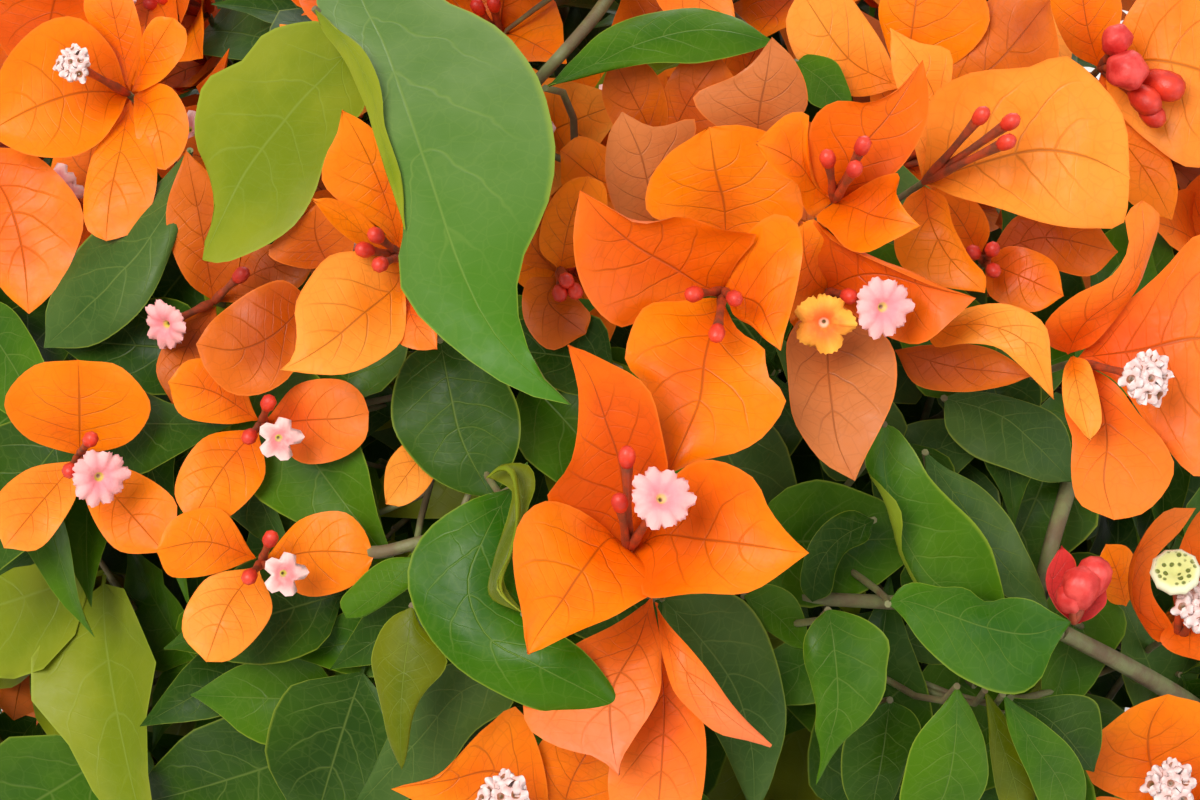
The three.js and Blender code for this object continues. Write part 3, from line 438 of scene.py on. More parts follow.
EDGE_LOW = Flower(0.0, [
    Blade("vivid", [(262, 562, -4), (310, 552, 0), (346, 552, 2), (374, 556, 2)],
          [(300, 520, -1), (344, 512, 1), (364, 530, 2)],
          [(306, 596, -1), (344, 590, 1), (366, 574, 2)]),
    Blade("golden", [(258, 566, -4), (228, 606, 0), (206, 662, 2)],
          [(272, 612, -1), (230, 660, 1)],
          [(204, 580, -1), (182, 632, 1)]),
    Blade("vivid", [(256, 558, -4), (208, 542, 0), (156, 550, 2)],
          [(214, 574, -1), (170, 576, 1)],
          [(218, 508, -1), (172, 520, 1)]),
], [(270, 540, 7, "bud"), (250, 576, 7, "bud"), (280, 572, 8, "small")])

SMALL_GOLDEN = Flower(-0.006, [
    Blade("golden", [(444, 432, -4), (414, 466, 0), (386, 504, 2)],
          [(412, 438, -1), (388, 462, 1), (384, 486, 2)],
          [(440, 462, -1), (424, 492, 1), (402, 506, 2)]),
    Blade("rust", [(446, 430, -4), (480, 420, -2), (510, 390, -1)],
          [(470, 400, -2), (500, 380, -1)],
          [(484, 446, -2), (514, 420, -1)]),
])

FLOWERS = [CENTRAL, MIDDLE, SALMON, UPPER, LONG_TUBED, BACK_SALMON, RIGHT_LARGE, RIGHT_CUP, BOTTOM_RIGHT,
           TOP_RIGHT, TOP_LEFT, LEFT_MIDDLE, BESIDE_LEAF, HANGING, BOTTOM_LEFT, PINK_BUDS, BEHIND_TOP,
           ABOVE_LEAF, BEHIND_SALMON, BEHIND_LONG, LOW_LEFT, LEFT_BEHIND, EDGE_HIGH, EDGE_LOW, SMALL_GOLDEN]

LEAVES = [
    # the large leaf at the top, whose pale bluish green is a painted sheen, and its margin that is folded
    # over
    Leaf(0.034, Blade("sheen",
        [(345, -62, 0), (362, 0, 3), (383, 42, 5), (406, 107, 8), (432, 184, 10), (459, 264, 11),
         (486, 321, 11), (513, 356, 10), (571, 405, 8)],
        [(318, -22, 4), (322, 20, 6), (362, 52, 8), (381, 112, 9), (393, 172, 10), (407, 216, 10),
         (401, 252, 10), (403, 292, 10), (432, 329, 10), (474, 364, 10), (525, 394, 9)],
        [(400, -34, 2), (446, 0, 2), (494, 23, 2), (536, 73, 3), (555, 150, 4), (547, 207, 6),
         (524, 256, 8), (517, 298, 9), (525, 340, 10), (543, 378, 10)])),
    Leaf(0.034, Blade("lime",
        [(314, 8, 8), (348, 46, 10), (370, 88, 11), (380, 130, 11), (394, 178, 12), (405, 230, 12)],
        [(322, 30, 8), (343, 58, 9), (364, 104, 10), (378, 148, 11), (394, 196, 12)],
        [(334, 26, 9), (362, 48, 11), (378, 78, 12), (386, 128, 12), (402, 180, 12)])),
    # its neighbour, seen from the back
    Leaf(0.022, Blade("lime",
        [(352, 44, 4), (341, 60, 4), (306, 96, 3), (268, 142, 2), (237, 188, 1), (203, 260, -1)],
        [(325, 24, 4), (264, 30, 3), (240, 60, 2), (209, 78, 2), (198, 110, 1), (195, 142, 1),
         (213, 190, 0), (214, 216, 0), (206, 240, -1)],
        [(366, 100, 2), (346, 132, 2), (326, 160, 1), (318, 184, 1), (304, 211, 0), (283, 233, 0),
         (249, 254, -1), (220, 263, -1)])),
    Leaf(0.006, Blade("bluish",
        [(190, 150, 0), (160, 225, 0), (110, 285, -2), (44, 348, -6)],
        [(150, 190, -2), (84, 240, -4), (50, 300, -5)],
        [(186, 200, -1), (168, 262, -3), (140, 312, -5), (94, 345, -6)])),
    # lower left
    Leaf(0.018, Blade("glossy",
        [(512, 488, -4), (488, 530, 2), (468, 585, 4), (488, 637, 6), (535, 664, 8), (585, 690, 8),
         (627, 712, 6)],
        [(470, 500, 1), (424, 532, 2), (408, 575, 3), (420, 622, 4), (450, 663, 5), (492, 690, 6),
         (540, 710, 6), (590, 714, 6)],
        [(520, 530, 0), (522, 580, 1), (532, 618, 3), (562, 636, 5), (590, 658, 6), (613, 686, 6)])),
    # the curled one between them, and its bright margin
    Leaf(0.02, Blade("olive",
        [(524, 614, 5), (495, 590, 5), (504, 545, 4), (524, 500, 3), (515, 472, 2), (486, 477, 0)],
        [(489, 596, 5), (494, 560, 4), (509, 512, 3), (513, 492, 2), (499, 482, 1)],
        [(504, 582, 5), (514, 542, 5), (528, 512, 4), (535, 486, 3), (529, 465, 2), (503, 464, 1)])),
    Leaf(0.022, Blade("lime",
        [(528, 618, 4), (497, 588, 5), (511, 552, 5), (517, 520, 5), (516, 490, 5), (510, 470, 4),
         (500, 468, 3), (486, 479, 1)],
        [(502, 590, 5), (513, 553, 4), (520, 521, 4), (519, 489, 4), (513, 469, 3), (501, 466, 2)],
        [(498, 586, 5), (509, 551, 4), (516, 520, 4), (515, 492, 4), (510, 472, 3), (498, 470, 2)])),
    Leaf(0.014, Blade("olive",
        [(412, 606, 0), (408, 640, 2), (402, 690, 3), (401, 735, 3), (402, 770, 2)],
        [(393, 616, 0), (380, 631, 0), (373, 657, 0), (377, 693, 1), (384, 722, 2), (394, 752, 2)],
        [(420, 622, 0), (433, 640, 0), (447, 661, 0), (443, 673, 1), (428, 690, 2), (412, 714, 2),
         (408, 745, 2)])),
    Leaf(0.0, Blade("bluish",
        [(512, 676, 0), (464, 690, 0), (420, 738, -1), (352, 812, -4)],
        [(478, 662, 0), (445, 666, -1), (402, 716, -2), (368, 776, -4)],
        [(512, 706, 0), (474, 732, -1), (440, 778, -2), (388, 808, -4)])),
    Leaf(0.004, Blade("mid",
        [(420, 556, 0), (392, 582, 0), (346, 618, -2)],
        [(384, 560, -1), (352, 586, -2), (340, 602, -2)],
        [(414, 582, 0), (386, 604, -1), (362, 618, -2)])),
    Leaf(0.002, Blade("deep",
        [(440, 340, 0), (452, 400, -1), (462, 440, -2), (492, 498, -4)],
        [(404, 360, -1), (392, 420, -2), (420, 468, -3), (460, 492, -4)],
        [(480, 350, -1), (516, 400, -2), (520, 440, -3), (505, 480, -4)])),
    # below the middle
    Leaf(0.002, Blade("bluish",
        [(662, 598, 0), (702, 640, 0), (736, 690, 0), (752, 750, -1), (754, 815, -3)],
        [(664, 636, -1), (690, 690, -2), (720, 742, -3), (742, 790, -3)],
        [(692, 594, 0), (736, 595, 0), (762, 624, 0), (778, 666, 0), (787, 706, -1), (782, 745, -2),
         (768, 790, -3)])),
    Leaf(0.0, Blade("mid",
        [(744, 596, 0), (772, 612, 0), (807, 649, 0)],
        [(764, 584, 0), (792, 594, 0), (806, 622, 0)],
        [(752, 618, 0), (778, 638, 0), (796, 648, 0)])),
    Leaf(0.018, Blade("mid",
        [(828, 610, 0), (834, 650, 2), (838, 700, 2), (828, 745, 1), (816, 785, 0)],
        [(815, 620, 0), (804, 638, 0), (803, 660, 0), (811, 684, 0), (816, 706, 1), (815, 730, 1),
         (820, 756, 0)],
        [(842, 611, 0), (867, 620, 0), (888, 641, 0), (888, 668, 0), (884, 695, 1), (868, 719, 1),
         (850, 735, 1), (833, 756, 0)])),
    # right of the middle
    Leaf(0.014, Blade("mid",
        [(884, 424, 0), (884, 470, -2), (896, 520, -3), (938, 585, -2), (1006, 604, 0)],
        [(868, 443, 1), (866, 470, 2), (882, 488, 3), (899, 506, 3), (903, 522, 3), (902, 545, 3),
         (907, 562, 2), (922, 588, 1)],
        [(896, 428, 0), (914, 451, 1), (930, 478, 2), (955, 504, 3), (977, 526, 3), (990, 545, 3),
         (999, 574, 2)])),
    Leaf(0.006, Blade("bluish",
        [(925, 452, 0), (965, 510, 0), (1005, 566, 0), (1050, 612, 0)],
        [(926, 492, -1), (960, 546, -1), (1002, 594, -1)],
        [(946, 468, 0), (980, 486, 0), (1004, 511, 0), (1028, 552, 0), (1044, 592, 0)])),
    Leaf(0.02, Blade("glossy",
        [(888, 604, 0), (903, 601, 1), (941, 612, 1), (989, 628, 1), (1030, 634, 2), (1071, 622, 3)],
        [(900, 588, 1), (914, 583, 2), (941, 587, 3), (967, 588, 3), (986, 600, 3), (1003, 597, 3),
         (1034, 601, 3), (1052, 612, 3)],
        [(900, 614, 1), (917, 638, 1), (941, 662, 2), (967, 681, 2), (994, 692, 2), (1024, 693, 2),
         (1041, 679, 2), (1052, 652, 3)])),
    Leaf(-0.004, Blade("bluish",
        [(944, 398, 0), (1001, 416, 0), (1036, 446, -1), (1072, 482, -3)],
        [(960, 392, 0), (1010, 396, 0), (1060, 420, -1), (1072, 450, -2)],
        [(946, 430, 0), (966, 452, -1), (1010, 470, -2), (1046, 482, -3)])),
    Leaf(0.0, Blade("deep",
        [(874, 520, 0), (838, 540, 0), (818, 566, 0), (812, 602, 0)],
        [(852, 510, 0), (826, 522, 0), (806, 552, 0), (801, 588, 0)],
        [(868, 540, 0), (846, 552, 0), (836, 570, 0), (830, 594, 0)])),
    # bottom right
    Leaf(0.006, Blade("deep",
        [(890, 700, 0), (884, 745, 0), (868, 832, -3)],
        [(864, 712, 0), (844, 744, 0), (842, 784, -1)],
        [(914, 713, 0), (922, 732, 0), (908, 760, -1), (894, 800, -2)])),
    Leaf(0.016, Blade("mid",
        [(957, 686, 0), (955, 740, 2), (945, 790, 1), (918, 838, -1)],
        [(942, 706, 0), (914, 740, 0), (904, 776, 0), (900, 812, 0)],
        [(975, 716, 0), (986, 745, 1), (988, 776, 1), (968, 812, 0)])),
    Leaf(0.014, Blade("mid",
        [(1003, 694, 0), (1030, 740, 1), (1062, 786, 0), (1074, 836, -2)],
        [(1008, 728, 0), (1026, 772, 0), (1050, 820, -1)],
        [(1030, 714, 0), (1069, 745, 1), (1084, 772, 0), (1084, 806, -1)])),
    Leaf(0.008, Blade("deep",
        [(1010, 698, 0), (1050, 720, 0), (1094, 772, -2)],
        [(1040, 700, 2), (1074, 694, 3), (1096, 702, 2), (1102, 738, 0)],
        [(1024, 728, 0), (1056, 762, -1)])),
    Leaf(0.01, Blade("olive",
        [(985, 690, 0), (1000, 740, 0), (1016, 788, 0), (1026, 838, -2)],
        [(988, 724, 0), (992, 770, 0), (1004, 812, -1)],
        [(1002, 712, 0), (1020, 744, 0), (1036, 790, -1)])),
    # top
    Leaf(0.012, Blade("mid",
        [(545, 88, 0), (600, 62, 2), (650, 40, 3), (710, 30, 3), (774, 42, 0)],
        [(570, 62, 1), (618, 22, 2), (676, 8, 3), (735, 16, 2)],
        [(590, 76, 0), (644, 64, 1), (705, 62, 1), (750, 52, 0)])),
    Leaf(-0.002, Blade("mid",
        [(796, 62, 0), (820, 78, 0), (852, 112, 0)],
        [(808, 54, 0), (834, 62, 0), (850, 92, 0)],
        [(802, 86, 0), (812, 104, 0), (836, 112, 0)])),
    Leaf(-0.002, Blade("mid",
        [(-34, 296, 0), (4, 350, 0), (46, 424, -2)],
        [(-40, 350, -1), (0, 410, -2)],
        [(8, 306, 0), (44, 360, -1), (54, 400, -2)])),
]

# Branches that cross the view: their thickness at both ends in millimetres, and the places they run through
BRANCHES = [
    (2.4, 1.7, [(1240, 742, -16), (1175, 694, -8), (1120, 662, -4), (1062, 632, 0)]),
    (1.7, 1.3, [(1062, 632, 0), (1003, 620, -4), (950, 606, -6), (880, 602, -4), (800, 598, -6)]),
    (1.9, 1.5, [(1074, 462, -34), (1066, 496, -14), (1054, 536, -8), (1044, 576, -12), (1040, 612, -32)]),
    (1.5, 1.2, [(620, -20, -6), (590, 22, 4), (560, 56, 6), (536, 82, -2)]),
    (1.4, 1.1, [(340, 548, -6), (380, 552, 0), (424, 541, 0), (450, 536, -10)]),
]
# Where the view is open between the leaves: left, top, right and bottom
OPENINGS = [(350, 430, 480, 540), (750, 440, 835, 500), (1030, 470, 1130, 560), (1080, 650, 1140, 720),
            (690, 720, 800, 800), (790, 700, 850, 760)]


# Numbers and lines

class Dice:
    """Seeded numbers from 0 to 1, the same in every run."""

    def __init__(self, seed):
        self.state = (seed * 7919 + 12345) % 2147483647
        self.roll()

    def roll(self):
        self.state = self.state * 16807 % 2147483647
        return self.state / 2147483647

    def between(self, low, high):
        return mix(low, high, self.roll())


def mix(a, b, share):
    return a + (b - a) * share


def direction(turn, elevation):
    flat = math.cos(elevation)
    return Vector((flat * math.cos(turn), flat * math.sin(turn), math.sin(elevation)))


class Line:
    """A curve that is walked by its length."""

    def __init__(self, point, steps=200):
        self.point = point
        walked = [point(i / steps) for i in range(steps + 1)]
        lengths = [(b - a).length for a, b in zip(walked, walked[1:])]
        self.walk = np.concatenate([[0], np.cumsum(lengths)])
        self.length = self.walk[-1]
        self.times = np.linspace(0, 1, steps + 1)

    def at(self, share):
        return self.point(float(np.interp(share * self.length, self.walk, self.times)))

    def way(self, share):
        time = float(np.interp(share * self.length, self.walk, self.times))
        step = 1e-3
        return (self.point(min(time + step, 1)) - self.point(max(time - step, 0))).normalized()


def smooth_line(points):
    """A centripetal Catmull-Rom curve through the points."""
    ends = [2 * points[0] - points[1], *points, 2 * points[-1] - points[-2]]

    def point(time):
        place = time * (len(points) - 1)
        i = min(int(place), len(points) - 2)
        a, b, c, d = ends[i:i + 4]
        s, t, u = (math.sqrt((q - p).length) for p, q in ((a, b), (b, c), (c, d)))
        leave = ((b - a) / s - (c - a) / (s + t) + (c - b) / t) * t
        arrive = ((c - b) / t - (d - b) / (t + u) + (d - c) / u) * t
        w = place - i
        bend = 3 * (c - b) - 2 * leave - arrive
        turn = 2 * (b - c) + leave + arrive
        return b + leave * w + bend * w ** 2 + turn * w ** 3

    return Line(point)


def bent_line(a, b, c):
    """A quadratic Bezier curve."""
    return Line(lambda t: a * (1 - t) ** 2 + b * (2 * t * (1 - t)) + c * t ** 2, 40)


# The rule by which trunk, boughs and masses are laid out

TRUNK_LINE = smooth_line([
    Vector((0, 0, GROUND - 0.006)),
    Vector((0.0005, 0, GROUND + 0.014)),
    Vector((0.004, -0.0015, GROUND + 0.046)),
    Vector((-0.002, 0.002, GROUND + 0.082)),
    Vector((0.001, 0, GROUND + TRUNK["height"])),
])


def trunk_radius(share):
    flare = TRUNK["flare"] * math.exp(-share * TRUNK["height"] / TRUNK["flare_height"])
    return mix(TRUNK["foot"], TRUNK["top"], share) + flare


def reach_to(way):
    upright = CROWN["rise"] if way.z > 0 else CROWN["fall"]
    return 1 / math.sqrt((way.x ** 2 + way.y ** 2) / CROWN["reach"] ** 2 + way.z ** 2 / upright ** 2)


def in_crown(way, share):
    return CROWN["centre"] + way * (reach_to(way) * share)


class Mass:
    """One mass of foliage: its own space round a seed, and the bough that carries it."""

    def __init__(self, name, turn, elevation, leaves):
        self.name = name
        self.way = direction(math.radians(turn - 90), math.radians(elevation))
        self.seed = in_crown(self.way, CROWN["seed_share"])
        self.hub = in_crown(self.way, BOUGH["tip_share"])
        self.leaves = leaves

    def bough_line(self):
        below = 0 if self.leaves == 1 else BOUGH["below"]
        foot = TRUNK_LINE.at(mix(BOUGH["lowest"], 1, self.leaves) - below)
        mid = foot.lerp(self.hub, BOUGH["bend"])
        mid.z += BOUGH["lift"] if self.way.z < 0 else -BOUGH["sag"]
        return smooth_line([foot, mid, self.hub])


def ring_of_masses(name, elevation, lowest, turns):
    """Masses round the crown. Their boughs leave the trunk at shares of its height from lowest on."""
    leaves = [lowest + BOUGH["spacing"] * (2 * i % 5) for i in range(len(turns))]
    return [Mass(f"{name}_{i + 1}", turn, elevation, leaves[i]) for i, turn in enumerate(turns)]


MASSES = ring_of_masses("upper", 40, 0.62, (0, 80, 148, -148, -80))
MASSES += ring_of_masses("lower", -9, 0.2, (40, 108, 180, -108, -40))
MASSES.append(Mass("top", 0, 90, 1))

# The photograph's view, and where its lines of sight meet the crown

EYE_WAY = direction(math.radians(-90), VIEW["elevation"])
EYE = in_crown(EYE_WAY, 1) + EYE_WAY * VIEW["distance"]
RIGHT = Vector((1, 0, 0))
UP = Vector((0, math.sin(VIEW["elevation"]), math.cos(VIEW["elevation"])))


def sight_way(across, down):
    line = EYE_WAY * -FOCAL + RIGHT * (across - VIEW["width"] / 2) + UP * (VIEW["height"] / 2 - down)
    return line.normalized()


def seen_at_depth(across, down, depth):
    line = sight_way(across, down)
    return EYE + line * (-depth / line.dot(EYE_WAY))


def seen_at(across, down, lift):
    """Where a line of sight meets the crown, moved nearer the eye by lift."""
    line = sight_way(across, down)
    axes = Vector((CROWN["reach"], CROWN["reach"], CROWN["rise"]))
    start = Vector([f / s for f, s in zip(EYE - CROWN["centre"], axes)])
    along = Vector([f / s for f, s in zip(line, axes)])
    a, b = along.dot(along), start.dot(along)
    root = math.sqrt(max(b * b - a * (start.dot(start) - 1), 0))
    return EYE + line * ((-b - root) / a - lift)


def shown_at(point):
    away = point - EYE
    depth = -away.dot(EYE_WAY) / FOCAL
    return VIEW["width"] / 2 + away.dot(RIGHT) / depth, VIEW["height"] / 2 - away.dot(UP) / depth


def mass_of(point):
    return min(MASSES, key=lambda mass: (mass.seed - point).length_squared)


def inside(mass, point):
    """How far inside its mass's own space a point lies."""
    own = (mass.seed - point).length_squared
    others = [other for other in MASSES if other is not mass]
    return min(((o.seed - point).length_squared - own) / 2 / (o.seed - mass.seed).length for o in others)


FRONT_CLEAR = 0.985  # beyond this share of the reach, the front is left to the drawn blades
OPEN_DEPTH = 0.84  # an opening goes down to this share of the reach


def in_opening(point):
    across, down = shown_at(point)
    return any(left < across < right and top < down < low for left, top, right, low in OPENINGS)


def has_room(mass, points):
    """True where no limb can be, and where a blade hangs neither too low nor in a neighbour's space."""
    for point in map(Vector, points):
        away = point - CROWN["centre"]
        if point.z < CROWN["skirt"]:
            return False
        if away.z < CROWN["bare_top"] and math.hypot(away.x, away.y) < CROWN["bare_radius"]:
            return False
        share = away.length / reach_to(away.normalized())
        if share < CROWN["bare_share"]:
            return False
        if share > OPEN_DEPTH and at_front(point) and (share > FRONT_CLEAR or in_opening(point)):
            return False
        if mass and inside(mass, point) < GAP:
            return False
    return True


def at_front(point):
    """True where the front flowers and leaves take the place of those that the rule would grow."""
    if (point - CROWN["centre"]).dot(EYE_WAY) < 0:
        return False
    across, down = shown_at(point)
    if not (-MARGIN < across < VIEW["width"] + MARGIN and -MARGIN < down < VIEW["height"] + MARGIN):
        return False
    return across > CORNER["across"] or down < CORNER["down"]


# Blades: a bract or a leaf is a thin closed shell on a bent midrib

BladeForm = namedtuple("BladeForm", "outline rows columns thick")
BRACT_OUTLINE = ((0, 0.05), (0.04, 0.1), (0.09, 0.52), (0.2, 0.86), (0.34, 1), (0.5, 0.93),
                 (0.65, 0.71), (0.8, 0.4), (0.9, 0.18), (0.96, 0.06), (1, 0.01))
LEAF_OUTLINE = ((0, 0.035), (0.1, 0.03), (0.13, 0.16), (0.19, 0.58), (0.28, 0.9), (0.38, 1), (0.5, 0.92),
                (0.65, 0.68), (0.79, 0.37), (0.9, 0.15), (0.96, 0.05), (1, 0.01))
FINE_BRACT = BladeForm(BRACT_OUTLINE, 20, 14, 0.00022)
FINE_LEAF = BladeForm(LEAF_OUTLINE, 24, 12, 0.0003)
PLAIN_BRACT = BladeForm(BRACT_OUTLINE, 7, 4, 0.00025)
PLAIN_LEAF = BladeForm(LEAF_OUTLINE, 8, 4, 0.0003)


def rows_of(form):
    """The shares of the length at which a blade has its rows, closer at the root."""
    even = np.linspace(0, 1, form.rows + 1)
    return even ** 1.12


def blade_faces(form):
    """The faces and the UV places of a closed blade. The underside's places are one further across."""
    rows, columns = form.rows, form.columns
    top = np.arange((rows + 1) * (columns + 1)).reshape(rows + 1, columns + 1)
    under = top.copy()
    count = (rows - 1) * (columns - 1)
    under[1:-1, 1:-1] = top.size + np.arange(count).reshape(rows - 1, columns - 1)
    along = rows_of(form)
    across = np.linspace(0, 1, columns + 1)
    faces, places = [], []
    for i in range(rows):
        for j in range(columns):
            ring = [(i, j), (i + 1, j), (i + 1, j + 1), (i, j + 1)]
            faces.append([int(top[r, c]) for r, c in ring])
            places += [(across[c], along[r]) for r, c in ring]
            ring = [ring[0], ring[3], ring[2], ring[1]]
            faces.append([int(under[r, c]) for r, c in ring])
            places += [(1 + across[c], along[r]) for r, c in ring]
    return faces, places


NEAR_BRACT = PLAIN_BRACT._replace(rows=14, columns=8)
NEAR_LEAF = PLAIN_LEAF._replace(rows=16, columns=6)
FORMS = (FINE_BRACT, FINE_LEAF, NEAR_BRACT, NEAR_LEAF, PLAIN_BRACT, PLAIN_LEAF)
BLADE_FACES = {form: blade_faces(form) for form in FORMS}
PLAIN_FACES = {form: BLADE_FACES[form][0] for form in FORMS}


def bezier(a, b, c, d, t):
    t = t[:, None]
    return a * (1 - t) ** 3 + 3 * b * t * (1 - t) ** 2 + 3 * c * t ** 2 * (1 - t) + d * t ** 3


def shell_of(form, sheet, face):
    """A closed shell of a blade's thickness round a sheet, whose rim is shared by both sides."""
    push = face * form.thick / 2
    top = sheet.copy()
    top[1:-1, 1:-1] += push[1:-1, 1:-1]
    under = sheet[1:-1, 1:-1] - push[1:-1, 1:-1]
    return np.concatenate([top.reshape(-1, 3), under.reshape(-1, 3)])


def ripples(form, along, across, dice):
    """Waves along both edges of a blade, from -1 to 1."""
    phase = dice.between(0, 2 * math.pi)
    waves = np.zeros((form.rows + 1, form.columns + 1))
    for edge in (-1, 1):
        wave = np.sin(phase + edge * 1.3 + 2 * math.pi * dice.between(1.6, 2.8) * along)
        waves += wave[:, None] * np.clip(edge * across, 0, 1) ** 3
    return waves


def at_depth(depth):
    """Places of a flower, which are measured from its own depth."""
    return lambda place: seen_at_depth(place[0], place[1], depth - place[2] / 1000)


def at_lift(lift):
    """Places of a leaf, which are measured from the crown's surface."""
    return lambda place: seen_at(place[0], place[1], lift + place[2] / 1000)


# A drawn blade's half width at its root and its tip, its waves as a share of its width, and its puckers
DRAWN = {"root": 0.0006, "tip": 0.0002, "wave": 0.02, "pucker": 0.0005, "puckers": 150}


def drawn_blade(form, held, drawn, dice):
    """The points of a blade whose midrib and edges are drawn in the picture."""
    rib, left, right = ([held(place) for place in line] for line in (drawn.rib, drawn.left, drawn.right))
    root, tip = rib[0], rib[-1]
    lines = [smooth_line(rib)]
    for edge in (left, right):
        start = root + (edge[0] - root).normalized() * DRAWN["root"]
        end = tip + (edge[-1] - tip).normalized() * DRAWN["tip"]
        lines.append(smooth_line([start, *edge, end]))
    along = rows_of(form)
    mid, near_side, far_side = (np.array([line.at(float(s)) for s in along]) for line in lines)
    if np.cross(mid[-1] - mid[0], (far_side - near_side).sum(0)).dot(EYE_WAY) < 0:
        near_side, far_side = far_side, near_side
    across = np.linspace(-1, 1, form.columns + 1)[None, :, None]
    mid, near_side, far_side = mid[:, None], near_side[:, None], far_side[:, None]
    sheet = mid + across * (far_side - near_side) / 2 + across ** 2 * ((far_side + near_side) / 2 - mid)
    face = np.cross(np.gradient(sheet, axis=0), np.gradient(sheet, axis=1))
    face /= np.linalg.norm(face, axis=2)[:, :, None] + 1e-12
    width = np.linalg.norm(far_side - near_side, axis=2)
    pucker = np.array([[noise.noise(Vector(p) * DRAWN["puckers"]) for p in row] for row in sheet])
    lift = DRAWN["wave"] * width * ripples(form, along, across[0, :, 0], dice) + DRAWN["pucker"] * pucker
    return shell_of(form, sheet + face * lift[:, :, None], face)


RIM_ANGLE = math.radians(110)  # edges folded further than this are a blade's rim


class Heap:
    """Shapes of one finish that are joined into one piece, with the UV places of their faces' corners."""

    def __init__(self):
        self.points, self.faces, self.places, self.count = [], [], [], 0

    def add(self, points, faces, places=None):
        self.faces += [[i + self.count for i in face] for face in faces]
        self.points.append(points)
        self.places += places or [(0.5, 0.5)] * sum(len(face) for face in faces)
        self.count += len(points)

    def mesh(self, name):
        made = bpy.data.meshes.new(name)
        made.from_pydata(np.concatenate(self.points).tolist(), [], self.faces)
        layer = made.uv_layers.new(name="UVMap")
        layer.data.foreach_set("uv", np.array(self.places, np.float32).ravel())
        made.shade_smooth()
        made.set_sharp_from_angle(angle=RIM_ANGLE)
        return made


class Room:
    """The blades that have been placed, so that the next ones keep off them."""

    def __init__(self):
        self.lows, self.highs, self.trees = np.zeros((0, 3)), np.zeros((0, 3)), []

    def is_free(self, points, faces):
        low, high = points.min(0), points.max(0)
        near = np.all((self.lows < high) & (self.highs > low), axis=1)
        if not near.any():
            return True
        tree = BVHTree.FromPolygons(points.tolist(), faces)
        return not any(tree.overlap(self.trees[i]) for i in np.flatnonzero(near))

    def take(self, points, faces):
        self.lows = np.vstack([self.lows, points.min(0)])
        self.highs = np.vstack([self.highs, points.max(0)])
        self.trees.append(BVHTree.FromPolygons(points.tolist(), faces))


ROOM = Room()


# Templates: a few bracts and leaves of length one that the sprays are dealt out from

Shape = namedtuple("Shape", "rise tip_rise width arch fold cup wave")
BRACT_SHAPE = Shape(0.3, 0.44, 0.86, 0.12, 0.06, 0.16, 0.1)
LEAF_SHAPE = Shape(0.12, 0.14, 0.56, 0.12, 0.3, 0.08, 0.14)
SORTS = {  # the form, the shape and the first seed of each sort of blade
    "bracts": (PLAIN_BRACT, BRACT_SHAPE, 40),
    "leaves": (PLAIN_LEAF, LEAF_SHAPE, 60),
    "near_bracts": (NEAR_BRACT, BRACT_SHAPE, 40),
    "near_leaves": (NEAR_LEAF, LEAF_SHAPE, 60),
}
KINDS = 6  # templates of each sort
USUAL_LENGTH = 0.045  # of what a template stands for
NEAR_SHARE = 0.84  # blades at the front that reach further out than this get the finer form


def template(form, shape, seed):
    """The points of a blade from the origin. It sets off by rise along Z and arches over, and its inner side
    faces Z. The fold is along its midrib, the cup and the waves are at its edges."""
    dice = Dice(seed)
    axis = Vector((0, 0, 1))
    tip = Vector((math.cos(shape.tip_rise), 0, math.sin(shape.tip_rise)))
    turning = dice.between(-0.3, 0.3)
    width = shape.width * dice.between(0.92, 1.06)
    rise = shape.rise * dice.between(0.8, 1.2)
    arch = shape.arch * dice.between(0.6, 1.5)
    cup = shape.cup * dice.between(0.6, 1.4)
    wave = shape.wave * dice.between(0.6, 1.6)
    length = tip.length
    out = (tip - axis * tip.dot(axis)).normalized()
    bend = (out * 0.1 + axis * rise) * length
    over = tip * 0.36 - axis * (arch * length)
    along = rows_of(form)
    mid = bezier(*[np.array(p) for p in (Vector(), bend, tip - over, tip)], along)
    ways = np.gradient(mid, axis=0)
    ways /= np.linalg.norm(ways, axis=1)[:, None]
    side = np.array(axis.cross(out))
    face = np.cross(ways, side)
    turn = (turning * along)[:, None]
    side, face = side * np.cos(turn) + face * np.sin(turn), face * np.cos(turn) - side * np.sin(turn)
    half = np.interp(along, *zip(*form.outline)) * width * length / 2
    across = np.linspace(-1, 1, form.columns + 1)
    reach = half[:, None] * across
    ridge = 0.03 * width * length
    lift = shape.fold * (np.sqrt(reach ** 2 + ridge ** 2) - ridge)
    lift += (cup + 0.9 * cup * (1 - along[:, None]) ** 3) * half[:, None] * across ** 2
    lift += wave * half[:, None] * ripples(form, along, across, dice)
    inward = 1 - 0.18 * (abs(shape.fold) + abs(cup)) * across ** 2
    sheet = mid[:, None] + side[:, None] * (reach * inward)[:, :, None] + face[:, None] * lift[:, :, None]
    scaled = form._replace(thick=form.thick / USUAL_LENGTH)
    return shell_of(scaled, sheet, np.broadcast_to(face[:, None], sheet.shape))


TEMPLATES = {
    sort: [template(form, shape, seed + k) for k in range(KINDS)]
    for sort, (form, shape, seed) in SORTS.items()
}


def frame_of(root, axis, out, size):
    """The matrix that puts a template at a root, with its length along out and its face along the axis."""
    flat = (out - axis * out.dot(axis)).normalized()
    side = axis.cross(flat)
    turned = Matrix((flat, side, axis)).transposed().to_4x4()
    return Matrix.Translation(root) @ turned @ Matrix.Scale(size, 4)


def put(points, matrix):
    held = np.array(matrix)
    return points @ held[:3, :3].T + held[:3, 3]


# Shoots

class Shoot:
    def __init__(self, mass, root, out, dice, bloom, bound=None, behind=None):
        self.mass, self.root, self.out, self.dice, self.bloom = mass, root, out, dice, bloom
        self.blades = []  # (sort of blade, kind, tint, matrix) of each
        self.bound = bound  # the mass whose own space it keeps to, if any
        self.flower = None
        self.behind = behind  # for the front's own flowers and leaves, the place that hides their twig


